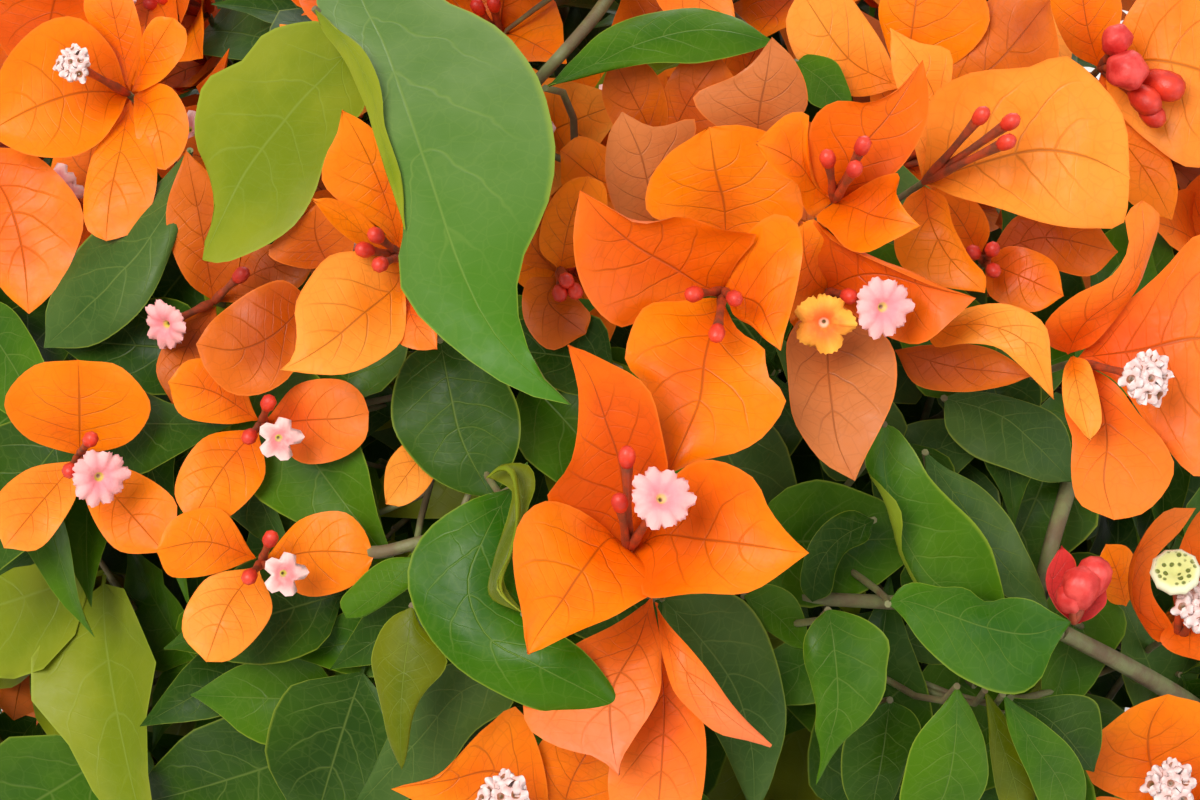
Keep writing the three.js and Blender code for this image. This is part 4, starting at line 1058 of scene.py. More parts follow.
TINTS = ("vivid", "burnt", "deep", "golden", "salmon", "vivid", "rust", "vivid")
GREENS = ("mid", "deep", "mid", "lime", "mid", "deep", "bluish", "deep", "mid", "deep")


def pick(members, dice):
    return members[int(dice.roll() * len(members))]


def spread(i, count, rule):
    """The height and the direction of one of many shoots, spread over the crown by the golden angle."""
    height = 1 - ((i + 0.5) / count) * (1 - rule.lowest)
    return height, direction(i * GOLDEN_ANGLE + rule.turned, math.asin(height))


def leaning(way, dice, sink, amount):
    """A direction that leans off a way at random."""
    lean = Vector((dice.roll() - 0.5, dice.roll() - 0.5, dice.roll() - sink)) * amount
    return (way + lean).normalized()


def chance(low, high, height):
    """Flowers are likelier the higher a shoot stands in the crown."""
    return mix(low, high, (height + 0.6) / 1.6)


# The first shoots and the finer ones between them: how low they go, the turn of the first one, how far out
# they reach, how much they lean, how often they flower, and how far back from their tips that grows
Rule = namedtuple("Rule", "lowest turned reach lean blooms flower leaf")
RULED = Rule(-0.62, 0.0, (0.93, 1.04), 0.7, (0.5, 0.78), 0.024, 0.014)
FINER = Rule(-0.66, 1.2, (0.95, 1.02), 0.9, (0.3, 0.6), 0.022, 0.012)
SEEN = {"reach": 0.8, "blooms": 0.75}  # for the finer shoots at the front
FINER_BRACTS = (0.034, 0.042)


def ruled_shoots(count, share, seed, flowers):
    """Shoots spread over the crown as the solids have them."""
    shoots = []
    for i in range(count):
        dice = Dice(seed + i)
        height, way = spread(i, count, RULED)
        tip = in_crown(way, share * dice.between(*RULED.reach))
        bloom = flowers and dice.roll() < chance(*RULED.blooms, height)
        out = leaning(way, dice, 0.2, RULED.lean)
        if flowers and at_front(tip):
            continue
        root = tip - out * (RULED.flower if bloom else RULED.leaf)
        mass = mass_of(root)
        inward = (mass.seed - root).normalized()
        root = root + inward * max(0, EDGE_ROOM - inside(mass, root))
        shoots.append(Shoot(mass, root, out, dice, bloom, mass))
    return shoots


def whorl_ways(axis, first):
    start = (first - axis * first.dot(axis)).normalized()
    cross = axis.cross(start)
    return lambda turn: start * math.cos(turn) + cross * math.sin(turn)


def nearness(root):
    """The first word of the name of the piece that a blade belongs to."""
    away = root - CROWN["centre"]
    return "near_" if at_front(root) and away.length > NEAR_SHARE * reach_to(away.normalized()) else ""


def grow_flower(shoot, sizes, pulls):
    """Tries a flower, ever smaller and turned further in, until it fits its mass's own space."""
    dice = shoot.dice
    turn = dice.roll() * 2 * math.pi
    size = mix(*sizes, dice.roll())
    first = Vector((math.cos(turn), math.sin(turn), 0.3))
    inward = shoot.mass.seed - shoot.root
    inward = (inward - shoot.out * inward.dot(shoot.out)).normalized()
    kinds = [int(dice.roll() * KINDS) for _ in range(3)]
    tint = pick(TINTS, dice)
    faces = PLAIN_FACES[PLAIN_BRACT]
    for share, pull in pulls:
        axis = (shoot.out + inward * pull).normalized()
        outward = whorl_ways(axis, first)
        matrices = [frame_of(shoot.root, axis, outward(k * 2 * math.pi / 3), size * share) for k in range(3)]
        shells = [put(TEMPLATES["bracts"][kind], m) for kind, m in zip(kinds, matrices)]
        if not all(has_room(shoot.bound, shell[::6]) and ROOM.is_free(shell, faces) for shell in shells):
            continue
        for kind, matrix, shell in zip(kinds, matrices, shells):
            ROOM.take(shell, faces)
            shoot.blades.append((f"{nearness(shoot.root)}bracts", kind, tint, matrix))
        shoot.flower = (shoot.root, axis, outward, size * share)
        return


SEEDS = {"flowers": 300, "leaves": 400, "outer": 100, "inner": 900}  # the first seed of each sort of shoot
BELOW_FLOWER = 0.007  # leaves grow this far below a shoot's flower
HALF_LEAF = 0.64  # half of what a leaf takes up of the turn round its shoot, in radians
LEAF_TRIES = ((0, 1), (1, 1), (-1, 1), (0.5, 0.8), (-0.5, 0.8), (0, 0.62))


def grow_leaves(shoot, count, sizes):
    """Leaves stand round a shoot, and each may swing a little or stay shorter to find room."""
    dice = shoot.dice
    foot = shoot.root - shoot.out * (BELOW_FLOWER if shoot.flower else 0)
    outward = whorl_ways(shoot.out, Vector((0.1, 0.1, 1)))
    start = dice.roll() * 2 * math.pi
    swing = math.pi / count - HALF_LEAF
    faces = PLAIN_FACES[PLAIN_LEAF]
    tint = pick(GREENS, dice)
    kept = []
    for k in range(count):
        length = mix(*sizes, dice.roll())
        kind = int(dice.roll() * KINDS)
        for way, share in LEAF_TRIES:
            out = outward(start + k * 2 * math.pi / count + way * swing)
            matrix = frame_of(foot, shoot.out, out, length * share)
            shell = put(TEMPLATES["leaves"][kind], matrix)
            if has_room(shoot.bound, shell[::5]) and ROOM.is_free(shell, faces):
                kept.append((kind, matrix, shell))
                break
    for kind, matrix, shell in kept:
        ROOM.take(shell, faces)
        shoot.blades.append((f"{nearness(shoot.root)}leaves", kind, tint, matrix))


# The front, blade by blade

FRONT = {}  # heaps of fine blades, by sort and tint
HEADS = []  # the kind, place, direction and size of each flower head
TUBES = []  # the points and radii of each flower tube
HEAD_SIZE = 0.0056
TUBE_RADIUS = 0.001
TUBE_SWELL = (0.7, 0.95, 1.0, 0.8, 0.7, 0.75, 0.95, 1.2)


def add_tube(root, axis, head, kind, size=1.0):
    """A flower's tube from the bract's foot to its head, narrow in the middle."""
    bend = root + axis * (0.5 * (head - root).length)
    line = bent_line(root, bend, head)
    steps = len(TUBE_SWELL) - 1
    TUBES.append([(line.at(i / steps), TUBE_RADIUS * swell) for i, swell in enumerate(TUBE_SWELL)])
    HEADS.append((kind, head, line.way(1), size))


def add_drawn(sort, form, held, drawn, dice):
    points = drawn_blade(form, held, drawn, dice)
    faces, places = BLADE_FACES[form]
    FRONT.setdefault((sort, drawn.tint), Heap()).add(points, faces, places)
    ROOM.take(points, faces)


def grow_front_flower(flower, seed):
    dice = Dice(seed)
    across, down, near = flower.bracts[0].rib[0]
    held = at_depth((EYE - seen_at(across, down, flower.lift)).dot(EYE_WAY) + near / 1000)
    for drawn in flower.bracts:
        add_drawn("bracts", FINE_BRACT, held, drawn, dice)
    root = held((across, down, near))
    for across, down, near, kind, *size in flower.heads:
        head = held((across, down, near))
        axis = ((head - root).normalized() + EYE_WAY * 0.4).normalized()
        add_tube(root, axis, head, kind, *size)
    return Shoot(mass_of(root), root, EYE_WAY, dice, True, behind=root)


def grow_front_leaf(leaf, seed):
    dice = Dice(seed)
    held = at_lift(leaf.lift)
    add_drawn("leaves", FINE_LEAF, held, leaf.blade, dice)
    root = held(leaf.blade.rib[0])
    return Shoot(mass_of(root), root, EYE_WAY, dice, False, behind=held(leaf.blade.rib[1]))


def grow_front():
    shoots = [grow_front_flower(flower, SEEDS["flowers"] + i) for i, flower in enumerate(FLOWERS)]
    return shoots + [grow_front_leaf(leaf, SEEDS["leaves"] + i) for i, leaf in enumerate(LEAVES)]


FLOWER_TRIES = ((1, 0), (1, 0.3), (0.95, 0.6), (0.9, 0.9), (0.84, 0.3))
FILL_TRIES = ((1, 0), (0.9, 0.4), (0.8, 0.8))
BEHIND_TRIES = ((1, 0), (0.9, 0.3), (0.8, 0.6), (0.7, 0), (0.62, 0.3))
FILL = (  # finer shoots: their number, share of the reach, seed, leaves' sizes, flowers, and whether bound
    (260, 0.93, 2000, (0.034, 0.052), True, True),
    (240, 0.82, 3000, (0.034, 0.056), True, True),
    (200, 0.68, 4000, (0.036, 0.06), False, True),
    (150, 0.76, 7000, (0.042, 0.064), False, False),
)


def fill_shoots(count, share, seed, sizes, flowers, bound):
    """Finer shoots between the first ones, inside the crown's outline."""
    shoots = []
    for i in range(count):
        dice = Dice(seed + i)
        height, way = spread(i, count, FINER)
        seen = at_front(in_crown(way, 1))
        held = min(share, SEEN["reach"]) if seen else share
        tip = in_crown(way, held * dice.between(*FINER.reach))
        out = leaning(way, dice, 0.2, FINER.lean)
        among = seen and shown_at(tip)[1] < BLOOMS_ABOVE
        if seen:
            bloom = flowers and among and dice.roll() < SEEN["blooms"]
        else:
            bloom = flowers and dice.roll() < chance(*FINER.blooms, height)
        root = tip - out * (FINER.flower if bloom else FINER.leaf)
        mass = mass_of(root)
        shoot = Shoot(mass, root, out, dice, bloom, mass if bound else None)
        if bloom:
            grow_flower(shoot, FINER_BRACTS, FILL_TRIES)
        if not among:
            grow_leaves(shoot, 2 if shoot.flower else 4, sizes)
        shoots.append(shoot)
    return shoots


BEHIND = {
    "count": 900,
    "seed": 5000,
    "lean": 1.1,
    "blooms_above": 0.95,
    "blooms_below": 0.05,
    "margin": 40,
    "corner": 20,
    "far": 0.05,
    "bracts": (0.034, 0.044),
    "leaves": (0.04, 0.06),
}
EVEN = {"across": 0.7548776662, "down": 0.5698402910}  # steps that spread any number of places evenly


def behind_shoots():
    """Flowers and leaves close behind the front ones, spread evenly over the photograph's view."""
    shoots = []
    margin = BEHIND["margin"]
    for i in range(BEHIND["count"]):
        dice = Dice(BEHIND["seed"] + i)
        across = mix(-margin, VIEW["width"] + margin, EVEN["across"] * i % 1)
        down = mix(-margin, VIEW["height"] + margin, EVEN["down"] * i % 1)
        if across < CORNER["across"] - BEHIND["corner"] and down > CORNER["down"] + BEHIND["corner"]:
            continue
        root = seen_at(across, down, -mix(0.0, BEHIND["far"], i / BEHIND["count"]))
        away = (root - CROWN["centre"]).normalized()
        out = leaning(away + EYE_WAY * 0.5, dice, 0.5, BEHIND["lean"])
        bloom = dice.roll() < BEHIND["blooms_above" if down < BLOOMS_ABOVE else "blooms_below"]
        shoot = Shoot(mass_of(root), root, out, dice, bloom)
        if bloom:
            grow_flower(shoot, BEHIND["bracts"], BEHIND_TRIES)
        elif down > BLOOMS_ABOVE:
            grow_leaves(shoot, 3, BEHIND["leaves"])
        shoots.append(shoot)
    return shoots


def grow_shoots():
    front = grow_front()
    behind = behind_shoots()
    outer = ruled_shoots(CROWN["sites"], CROWN["outer_share"], SEEDS["outer"], True)
    for shoot in outer:
        if shoot.bloom:
            grow_flower(shoot, (BRACT["short"], BRACT["long"]), FLOWER_TRIES)
    for shoot in outer:
        grow_leaves(shoot, 3 if shoot.flower else 4, (LEAF["short"], LEAF["long"]))
    inner = ruled_shoots(CROWN["inner_sites"], CROWN["inner_share"], SEEDS["inner"], False)
    for shoot in inner:
        if not (at_front(shoot.root) and shown_at(shoot.root)[1] < BLOOMS_ABOVE):
            grow_leaves(shoot, 3, (LEAF["short"], LEAF["long"]))
    fill = behind + [shoot for layer in FILL for shoot in fill_shoots(*layer)]
    for shoot in outer + fill:
        if shoot.flower:
            add_heads(*shoot.flower, shoot.dice)
    return front + outer + inner, fill


def add_heads(root, axis, outward, size, dice):
    """A ruled flower's three tubes: one or two open, the rest in bud."""
    for k in range(3):
        lean = (axis + outward(k * 2 * math.pi / 3 + 0.3) * dice.between(0.12, 0.26)).normalized()
        head = root + lean * (size * dice.between(0.4, 0.52))
        kind = ("small", "bud", "small", "bud", "bud")[int(dice.roll() * 5)]
        add_tube(root, lean, head, kind)


# Twigs

SPUR = {"before": 0.004, "beyond": 0.014, "radii": (0.0023, 0.0022, 0.0019)}  # goes on from the bough's tip
TWIG = {
    "inner": 0.8,  # it sets off no further out than this share of the way to its shoot
    "detour": 0.4,  # what the way back to the bough counts, where it picks its fork
    "sunk": 0.001,  # how deep it starts in its parent
    "onward": 0.35,  # the share of its length by which it runs on before it bends
    "hidden": 0.5,  # the same, where it comes up behind a drawn flower or leaf
    "edge": 0.003,  # how far its bend keeps from a neighbour's space
    "first": 0.0018,  # the radius at the first fork
    "least": 0.0007,
    "fork": 0.92,  # how much thinner than its parent it sets off
    "taper": 0.72,  # how much thinner it ends than it sets off
    "finer": 0.6,  # how much thinner those of the finer shoots are
    "step": 0.007,
}
BRANCH_STEPS = 16


def twig_between(mass, fork, shoot):
    """A twig from a fork to a shoot's root. It sets off the way its parent runs, and bends to the root."""
    root = shoot.root
    length = (fork["point"] - root).length
    bend = fork["point"] + fork["way"] * (TWIG["onward"] * length)
    if shoot.behind:
        bend = shoot.behind - EYE_WAY * (TWIG["hidden"] * length)
    elif inside(mass, bend) < TWIG["edge"]:
        bend = fork["point"].lerp(root, 0.4)
    line = bent_line(fork["point"] - fork["way"] * TWIG["sunk"], bend, root)
    return line, length


def grow_twigs(shoots, fill):
    """The twigs of every mass: points, each with the radius there."""
    runs = []
    for mass in MASSES:
        tip = mass.bough_line().way(1)
        start = mass.hub - tip * SPUR["before"]
        end = mass.hub + tip * SPUR["beyond"]
        runs.append(list(zip((start, mass.hub, end), SPUR["radii"])))
        forks = [{"point": end, "way": tip, "path": 0, "radius": TWIG["first"]}]
        for group, thin in ((shoots, 1.0), (fill, TWIG["finer"])):
            own = [s for s in group if s.mass is mass and (s.blades or s.behind)]
            own.sort(key=lambda s: (s.root - end).length)
            for shoot in own:
                far = TWIG["inner"] * (shoot.root - mass.hub).length
                inner = [f for f in forks if (f["point"] - mass.hub).length < far] or forks[:1]
                near = min(inner, key=lambda f: (f["point"] - shoot.root).length + TWIG["detour"] * f["path"])
                line, length = twig_between(mass, near, shoot)
                first = near["radius"] * TWIG["fork"] * thin
                last = TWIG["least"] if shoot.behind else max(TWIG["least"], first * TWIG["taper"])
                steps = max(3, int(length / TWIG["step"]))
                runs.append([(line.at(i / steps), mix(first, last, i / steps)) for i in range(steps + 1)])
                for share in (0.5,) if shoot.behind else (0.5, 1):
                    forks.append({
                        "point": line.at(share),
                        "way": line.way(share),
                        "path": near["path"] + share * length,
                        "radius": mix(first, last, share),
                    })
    held = at_lift(0)
    for thick, thin, places in BRANCHES:
        line = smooth_line([held(place) for place in places])
        shares = [i / BRANCH_STEPS for i in range(BRANCH_STEPS + 1)]
        runs.append([(line.at(share), mix(thick, thin, share) / 1000) for share in shares])
    return runs


# Finishes

def paint(red, green, blue):
    """A colour as it looks, from 0 to 255 each, as the shaders take it."""
    def linear(value):
        value /= 255
        return value / 12.92 if value <= 0.04045 else ((value + 0.055) / 1.055) ** 2.4
    return (linear(red), linear(green), linear(blue), 1)


def add_node(tree, kind, inputs=(), **settings):
    """A node with its settings, whose inputs are each linked or given a value."""
    made = tree.nodes.new(kind)
    for key, value in settings.items():
        setattr(made, key, value)
    for label, value in dict(inputs).items():
        value = value.socket if isinstance(value, Value) else value
        if isinstance(value, bpy.types.NodeSocket):
            tree.links.new(value, made.inputs[label])
        elif value is not None:
            made.inputs[label].default_value = value
    return made


class Value:
    """What a node of a finish gives, to be reckoned with by the usual signs."""

    def __init__(self, finish, socket):
        self.finish, self.socket = finish, socket

    def __add__(self, other):
        return self.finish.math("ADD", self, other)

    def __sub__(self, other):
        return self.finish.math("SUBTRACT", self, other)

    def __rsub__(self, other):
        return self.finish.math("SUBTRACT", other, self)

    def __mul__(self, other):
        return self.finish.math("MULTIPLY", self, other)

    def __abs__(self):
        return self.finish.math("ABSOLUTE", self)

    def step(self, low, high, start=0.0, end=1.0):
        """A smooth step from start to end, where the value goes from low to high."""
        inputs = dict(enumerate((self, low, high, start, end)))
        return self.finish.value("ShaderNodeMapRange", 0, inputs, interpolation_type="SMOOTHSTEP")


class Finish:
    """A material, and a short way to add its nodes."""

    def __init__(self, name):
        self.material = bpy.data.materials.new(name)
        self.material.use_nodes = True
        self.tree = self.material.node_tree
        self.tree.nodes.clear()
        self.out = add_node(self.tree, "ShaderNodeOutputMaterial")

    def value(self, kind, output, inputs=(), **settings):
        return Value(self, add_node(self.tree, kind, inputs, **settings).outputs[output])

    def math(self, operation, a, b=None, clamp=False):
        return self.value("ShaderNodeMath", 0, {0: a, 1: b}, operation=operation, use_clamp=clamp)

    def blend(self, share, a, b):
        factor, first, second, result = 0, 6, 7, 2  # where a mix of colours has its sockets
        return self.value("ShaderNodeMix", result, {factor: share, first: a, second: b}, data_type="RGBA")

    def places(self):
        return self.value("ShaderNodeTexCoord", "Object")

    def own_places(self):
        """Both parts of the piece's own UV places."""
        layer = self.value("ShaderNodeUVMap", 0, uv_map="UVMap")
        parts = add_node(self.tree, "ShaderNodeSeparateXYZ", {0: layer})
        return Value(self, parts.outputs[0]), Value(self, parts.outputs[1])

    def noise(self, scale, detail=3.0, rough=0.55, places=None):
        inputs = {"Vector": places or self.places(), "Scale": scale, "Detail": detail, "Roughness": rough}
        return self.value("ShaderNodeTexNoise", "Fac", inputs)

    def cells(self, feature, scale, random=1.0):
        inputs = {"Vector": self.places(), "Scale": scale, "Randomness": random}
        return self.value("ShaderNodeTexVoronoi", "Distance", inputs, feature=feature)

    def bump(self, height, strength, distance):
        return self.value("ShaderNodeBump", 0, {"Height": height, "Strength": strength, "Distance": distance})

    def surface(self, color, rough, normal=None, specular=0.5):
        inputs = {"Base Color": color, "Roughness": rough, "Normal": normal, "Specular IOR Level": specular}
        return self.value("ShaderNodeBsdfPrincipled", 0, inputs)

    def done(self, shader):
        self.tree.links.new(shader.socket, self.out.inputs["Surface"])
        return self.material


def blade_places(finish):
    """Across a blade from midrib to edge, along it, and 1 on its underside."""
    across, along = finish.own_places()
    under = finish.math("GREATER_THAN", across, 1.0)
    return abs((across - under) * 2.0 - 1.0), along, under


def vein_mask(finish, across, along, count, slant, thin):
    """Side veins that leave the midrib and curve towards the tip."""
    line = along * count - finish.math("POWER", across, 1.3) * slant
    crest = abs(finish.math("FRACT", line) - 0.5)
    return crest.step(thin, 0.0) * across.step(1.0, 0.5) * along.step(0.86, 0.6)


def blade_finish(name, look, top, deep, back, tip=None):
    """A blade of mottled colour with veins, a fine net and a margin, that lets some light through. Its colour
    deepens towards the midrib and the root, partly as painted shade of the fold.
    """
    finish = Finish(name)
    across, along, under = blade_places(finish)
    # the blade's own mottling, with painted shade of the fold: the colour deepens towards the midrib and
    # towards the root
    outer = finish.noise(38.0, 4.0) + across * 0.16 + (along - 0.4) * look.fade
    color = finish.blend(outer.step(0.4, 0.74), paint(*deep), paint(*top))
    if tip:
        color = finish.blend(along.step(0.3, 0.95), color, paint(*tip))
    color = finish.blend(under, color, paint(*back))
    strayed = along + (finish.noise(110.0, 2.0) - 0.5) * 0.09
    side = vein_mask(finish, across, strayed, look.veins, 1.5, 0.05)
    branch = vein_mask(finish, across, strayed, 2.6 * look.veins, -1.7, 0.07)
    net = finish.cells("DISTANCE_TO_EDGE", 330.0).step(0.07, 0.0)
    veins = finish.math("MAXIMUM", across.step(0.03, 0.0), side * 0.7, clamp=True)
    veins = finish.math("MAXIMUM", veins, branch * 0.24)
    color = finish.blend(finish.math("MAXIMUM", veins, net * 0.2) * look.strength, color, paint(*look.vein))
    color = finish.blend(across.step(0.95, 1.0) * 0.5, color, paint(*look.margin))
    crinkle = finish.noise(170.0, 3.0)
    normal = finish.bump(crinkle * 0.7 - veins * 0.4, 0.5, look.relief)
    rough = crinkle.step(0.3, 0.7, look.gloss + 0.12, look.gloss - 0.12)
    body = finish.surface(color, rough, normal, look.specular)
    through = finish.value("ShaderNodeBsdfTranslucent", 0, {"Color": color, "Normal": normal})
    return finish.done(finish.value("ShaderNodeMixShader", 0, {0: look.glow, 1: body, 2: through}))


# What all bracts share, and all leaves: the veins' colour, number and strength, and how the light meets them
Look = namedtuple("Look", "vein margin gloss glow veins strength specular relief fade")
# fade sets how much the colour deepens towards the root, as painted shade there
BRACT_LOOK = Look((112, 46, 6), (244, 130, 40), 0.44, 0.28, 5.5, 0.48, 0.22, 0.0009, 0.26)
LEAF_LOOK = Look((150, 168, 80), (150, 164, 50), 0.44, 0.14, 6.5, 0.24, 0.15, 0.0004, 0.05)
GLOSSY = 0.38
# The colours of each tint: towards the edge, in the depth (towards the midrib and the root, partly painted
# shade of the fold), underneath and, where it differs, at the tip
BRACT_SHADES = {
    "vivid": [(250, 134, 2), (238, 102, 0), (242, 124, 22)],
    "deep": [(246, 116, 20), (236, 88, 4), (236, 104, 20), (250, 132, 40)],
    "golden": [(252, 158, 52), (248, 130, 14), (250, 150, 46)],
    "salmon": [(208, 122, 62), (202, 102, 40), (222, 130, 72)],
    # a darker copy of the orange: painted shade, for bracts that sit in shade
    "rust": [(222, 108, 10), (190, 78, 4), (206, 100, 16)],
    "burnt": [(240, 108, 4), (222, 84, 0), (226, 104, 14)],
    "rose": [(226, 62, 58), (208, 44, 46), (222, 80, 70)],
    "pinktip": [(250, 124, 24), (240, 104, 8), (240, 120, 50), (240, 128, 74)],
}
LEAF_SHADES = {
    "mid": [(70, 108, 4), (50, 90, 4), (122, 140, 34)],
    "glossy": [(60, 102, 2), (40, 86, 2), (122, 140, 34)],
    "deep": [(48, 80, 6), (34, 64, 4), (98, 118, 30)],
    "bluish": [(72, 98, 40), (52, 82, 26), (108, 128, 54)],
    # pale bluish greens that are a painted sheen, with the leaf's own darker green towards the tip
    "sheen": [(104, 130, 70), (84, 116, 50), (124, 142, 70), (64, 112, 12)],
    "lime": [(132, 140, 26), (108, 124, 12), (146, 156, 50)],
    "olive": [(102, 108, 4), (80, 94, 3), (122, 130, 28)],
}


def blade_finishes():
    made = {}
    for tint, shades in BRACT_SHADES.items():
        made["bracts", tint] = blade_finish(f"bract_{tint}", BRACT_LOOK, *shades)
    for tint, shades in LEAF_SHADES.items():
        look = LEAF_LOOK._replace(gloss=GLOSSY) if tint == "glossy" else LEAF_LOOK
        made["leaves", tint] = blade_finish(f"leaf_{tint}", look, *shades)
    return made


def corolla_finish(name, rim, middle, mouth):
    """Petals whose colour deepens towards the flower's mouth, with painted shade in the throat at the very
    middle, and a fine grain.
    """
    finish = Finish(name)
    along = blade_places(finish)[1]
    color = finish.blend(along.step(0.3, 0.95), paint(*middle), paint(*rim))
    color = finish.blend(along.step(0.2, 0.12), color, paint(*mouth))
    # painted shade: the dark spot at the very middle stands for the shade inside the flower's throat
    color = finish.blend(along.step(0.1, 0.04), color, paint(96, 70, 30))
    color = finish.blend(finish.noise(420.0).step(0.45, 0.7, 0.0, 0.5), color, paint(*rim))
    return finish.done(finish.surface(color, 0.6, finish.bump(finish.noise(900.0), 0.4, 0.0004), 0.2))


def pod_finish():
    """A pale pod whose middle is greener, with dark pits."""
    finish = Finish("pod_pitted")
    middle = blade_places(finish)[1].step(0.5, 0.62)
    pit = finish.cells("F1", 720.0, 0.6).step(0.42, 0.26) * middle
    color = finish.blend(middle, paint(226, 222, 186), paint(204, 204, 130))
    color = finish.blend(pit, color, paint(104, 112, 44))
    return finish.done(finish.surface(color, 0.6, finish.bump(1.0 - pit, 0.8, 0.0006), 0.2))


def plain_finish(name, light, dark, rough, scale, relief, distance, specular=0.5):
    """A finish of two mottled colours with a fine relief."""
    finish = Finish(name)
    mottle = finish.noise(scale, 5.0)
    color = finish.blend(mottle.step(0.35, 0.68), paint(*dark), paint(*light))
    normal = finish.bump(finish.noise(scale * 6, 4.0), relief, distance)
    roughness = mottle.step(0.3, 0.7, rough + 0.06, rough - 0.06)
    return finish.done(finish.surface(color, roughness, normal, specular))


def bark_finish():
    """Grey-brown bark with lengthwise cracks."""
    finish = Finish("bark")
    stretch = finish.value("ShaderNodeMapping", 0, {"Vector": finish.places(), "Scale": (1, 1, 0.22)})
    cracks = finish.noise(420.0, 6.0, 0.65, stretch)
    patches = finish.noise(70.0, 4.0, 0.6)
    color = finish.blend(patches.step(0.36, 0.66), paint(124, 100, 78), paint(168, 144, 118))
    color = finish.blend(cracks.step(0.5, 0.34), color, paint(84, 64, 50))
    normal = finish.bump(cracks, 0.7, 0.0006)
    return finish.done(finish.surface(color, patches.step(0.3, 0.7, 0.9, 0.72), normal, 0.3))


def pot_finish():
    """Black plastic with painted shade in its sunk panels, a fine moulded grain, dull scuffs and specks of
    the mix.
    """
    finish = Finish("pot_plastic")
    panel_shade = finish.own_places()[0]
    dust = finish.noise(60.0, 5.0, 0.6)
    scuff = finish.noise(190.0, 3.0, 0.7)
    speck = finish.cells("F1", 130.0).step(0.16, 0.1) * dust.step(0.5, 0.56)
    # painted shade: the sunk panels are darker than the ribs between them
    color = finish.blend(panel_shade.step(0.1, 0.9), paint(48, 51, 57), paint(30, 32, 37))
    color = finish.blend(dust.step(0.45, 0.8, 0.0, 0.3), color, paint(66, 67, 70))
    color = finish.blend(scuff.step(0.66, 0.76, 0.0, 0.5), color, paint(104, 104, 104))
    color = finish.blend(speck, color, paint(132, 84, 62))
    normal = finish.bump(speck * 2.0 + finish.noise(1400.0, 3.0), 0.14, 0.0003)
    return finish.done(finish.surface(color, dust.step(0.35, 0.7, 0.34, 0.48), normal, 0.5))


def plug_finish():
    """Grey-brown fleece round the plug, with fibres and soil stains."""
    finish = Finish("plug_wrap")
    stain = finish.noise(60.0, 5.0, 0.65)
    fibre = finish.noise(1100.0, 3.0, 0.7)
    color = finish.blend(stain.step(0.4, 0.62), paint(46, 42, 39), paint(98, 95, 92))
    color = finish.blend(fibre.step(0.52, 0.7, 0.0, 0.55), color, paint(164, 160, 154))
    return finish.done(finish.surface(color, 0.95, finish.bump(fibre, 0.6, 0.0005), 0.2))


# Node trees that grow what repeats

def new_tree(name, sockets):
    tree = bpy.data.node_groups.new(name, "GeometryNodeTree")
    for label, kind in {"Places": "NodeSocketGeometry", **sockets, "Finish": "NodeSocketMaterial"}.items():
        tree.interface.new_socket(name=label, in_out="INPUT", socket_type=kind)
    tree.interface.new_socket(name="Grown", in_out="OUTPUT", socket_type="NodeSocketGeometry")
    return tree, tree.nodes.new("NodeGroupInput").outputs


def attribute(tree, name, kind):
    node = add_node(tree, "GeometryNodeInputNamedAttribute", {"Name": name}, data_type=kind)
    return node.outputs["Attribute"]


def end_tree(tree, given, grown_nodes):
    """What has grown becomes a real mesh with the given finish."""
    real = add_node(tree, "GeometryNodeRealizeInstances", {0: grown_nodes.outputs[0]})
    finish = {"Geometry": real.outputs[0], "Material": given["Finish"]}
    add_node(tree, "NodeGroupOutput", {0: add_node(tree, "GeometryNodeSetMaterial", finish).outputs[0]})
    return tree


def spray_tree():
    """Instances picked by the attribute kind, turned by turn and sized by size, then realized."""
    tree, given = new_tree("spray", {"Blades": "NodeSocketCollection"})
    blades = {"Collection": given["Blades"], "Separate Children": True, "Reset Children": True}
    turn = add_node(tree, "FunctionNodeEulerToRotation", {0: attribute(tree, "turn", "FLOAT_VECTOR")})
    return end_tree(tree, given, add_node(tree, "GeometryNodeInstanceOnPoints", {
        "Points": given["Places"],
        "Instance": add_node(tree, "GeometryNodeCollectionInfo", blades).outputs[0],
        "Pick Instance": True,
        "Instance Index": attribute(tree, "kind", "INT"),
        "Rotation": turn.outputs[0],
        "Scale": attribute(tree, "size", "FLOAT"),
    }))


def tube_tree():
    """Round tubes along the edges, as thick as the attribute thick says."""
    tree, given = new_tree("tubes", {"Sides": "NodeSocketInt"})
    ring = add_node(tree, "GeometryNodeCurvePrimitiveCircle", {"Radius": 1.0, "Resolution": given["Sides"]})
    curve = add_node(tree, "GeometryNodeMeshToCurve", {"Mesh": given["Places"]})
    tube = add_node(tree, "GeometryNodeCurveToMesh", {
        "Curve": curve.outputs[0],
        "Profile Curve": ring.outputs[0],
        "Scale": attribute(tree, "thick", "FLOAT"),
        "Fill Caps": True,
    })
    return end_tree(tree, given, add_node(tree, "GeometryNodeSetShadeSmooth", {0: tube.outputs[0]}))


SPRAY_TREE = spray_tree()
TUBE_TREE = tube_tree()


def show(name, mesh, material=None):
    made = bpy.data.objects.new(name, mesh)
    bpy.context.scene.collection.objects.link(made)
    if material:
        made.data.materials.append(material)
    return made


def settle(piece, slot, *nodes):
    """Makes a piece ride on the root, and stand for the nodes that are named. Its slot is not used."""
    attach(piece, "root")
    if nodes:
        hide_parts(*nodes)


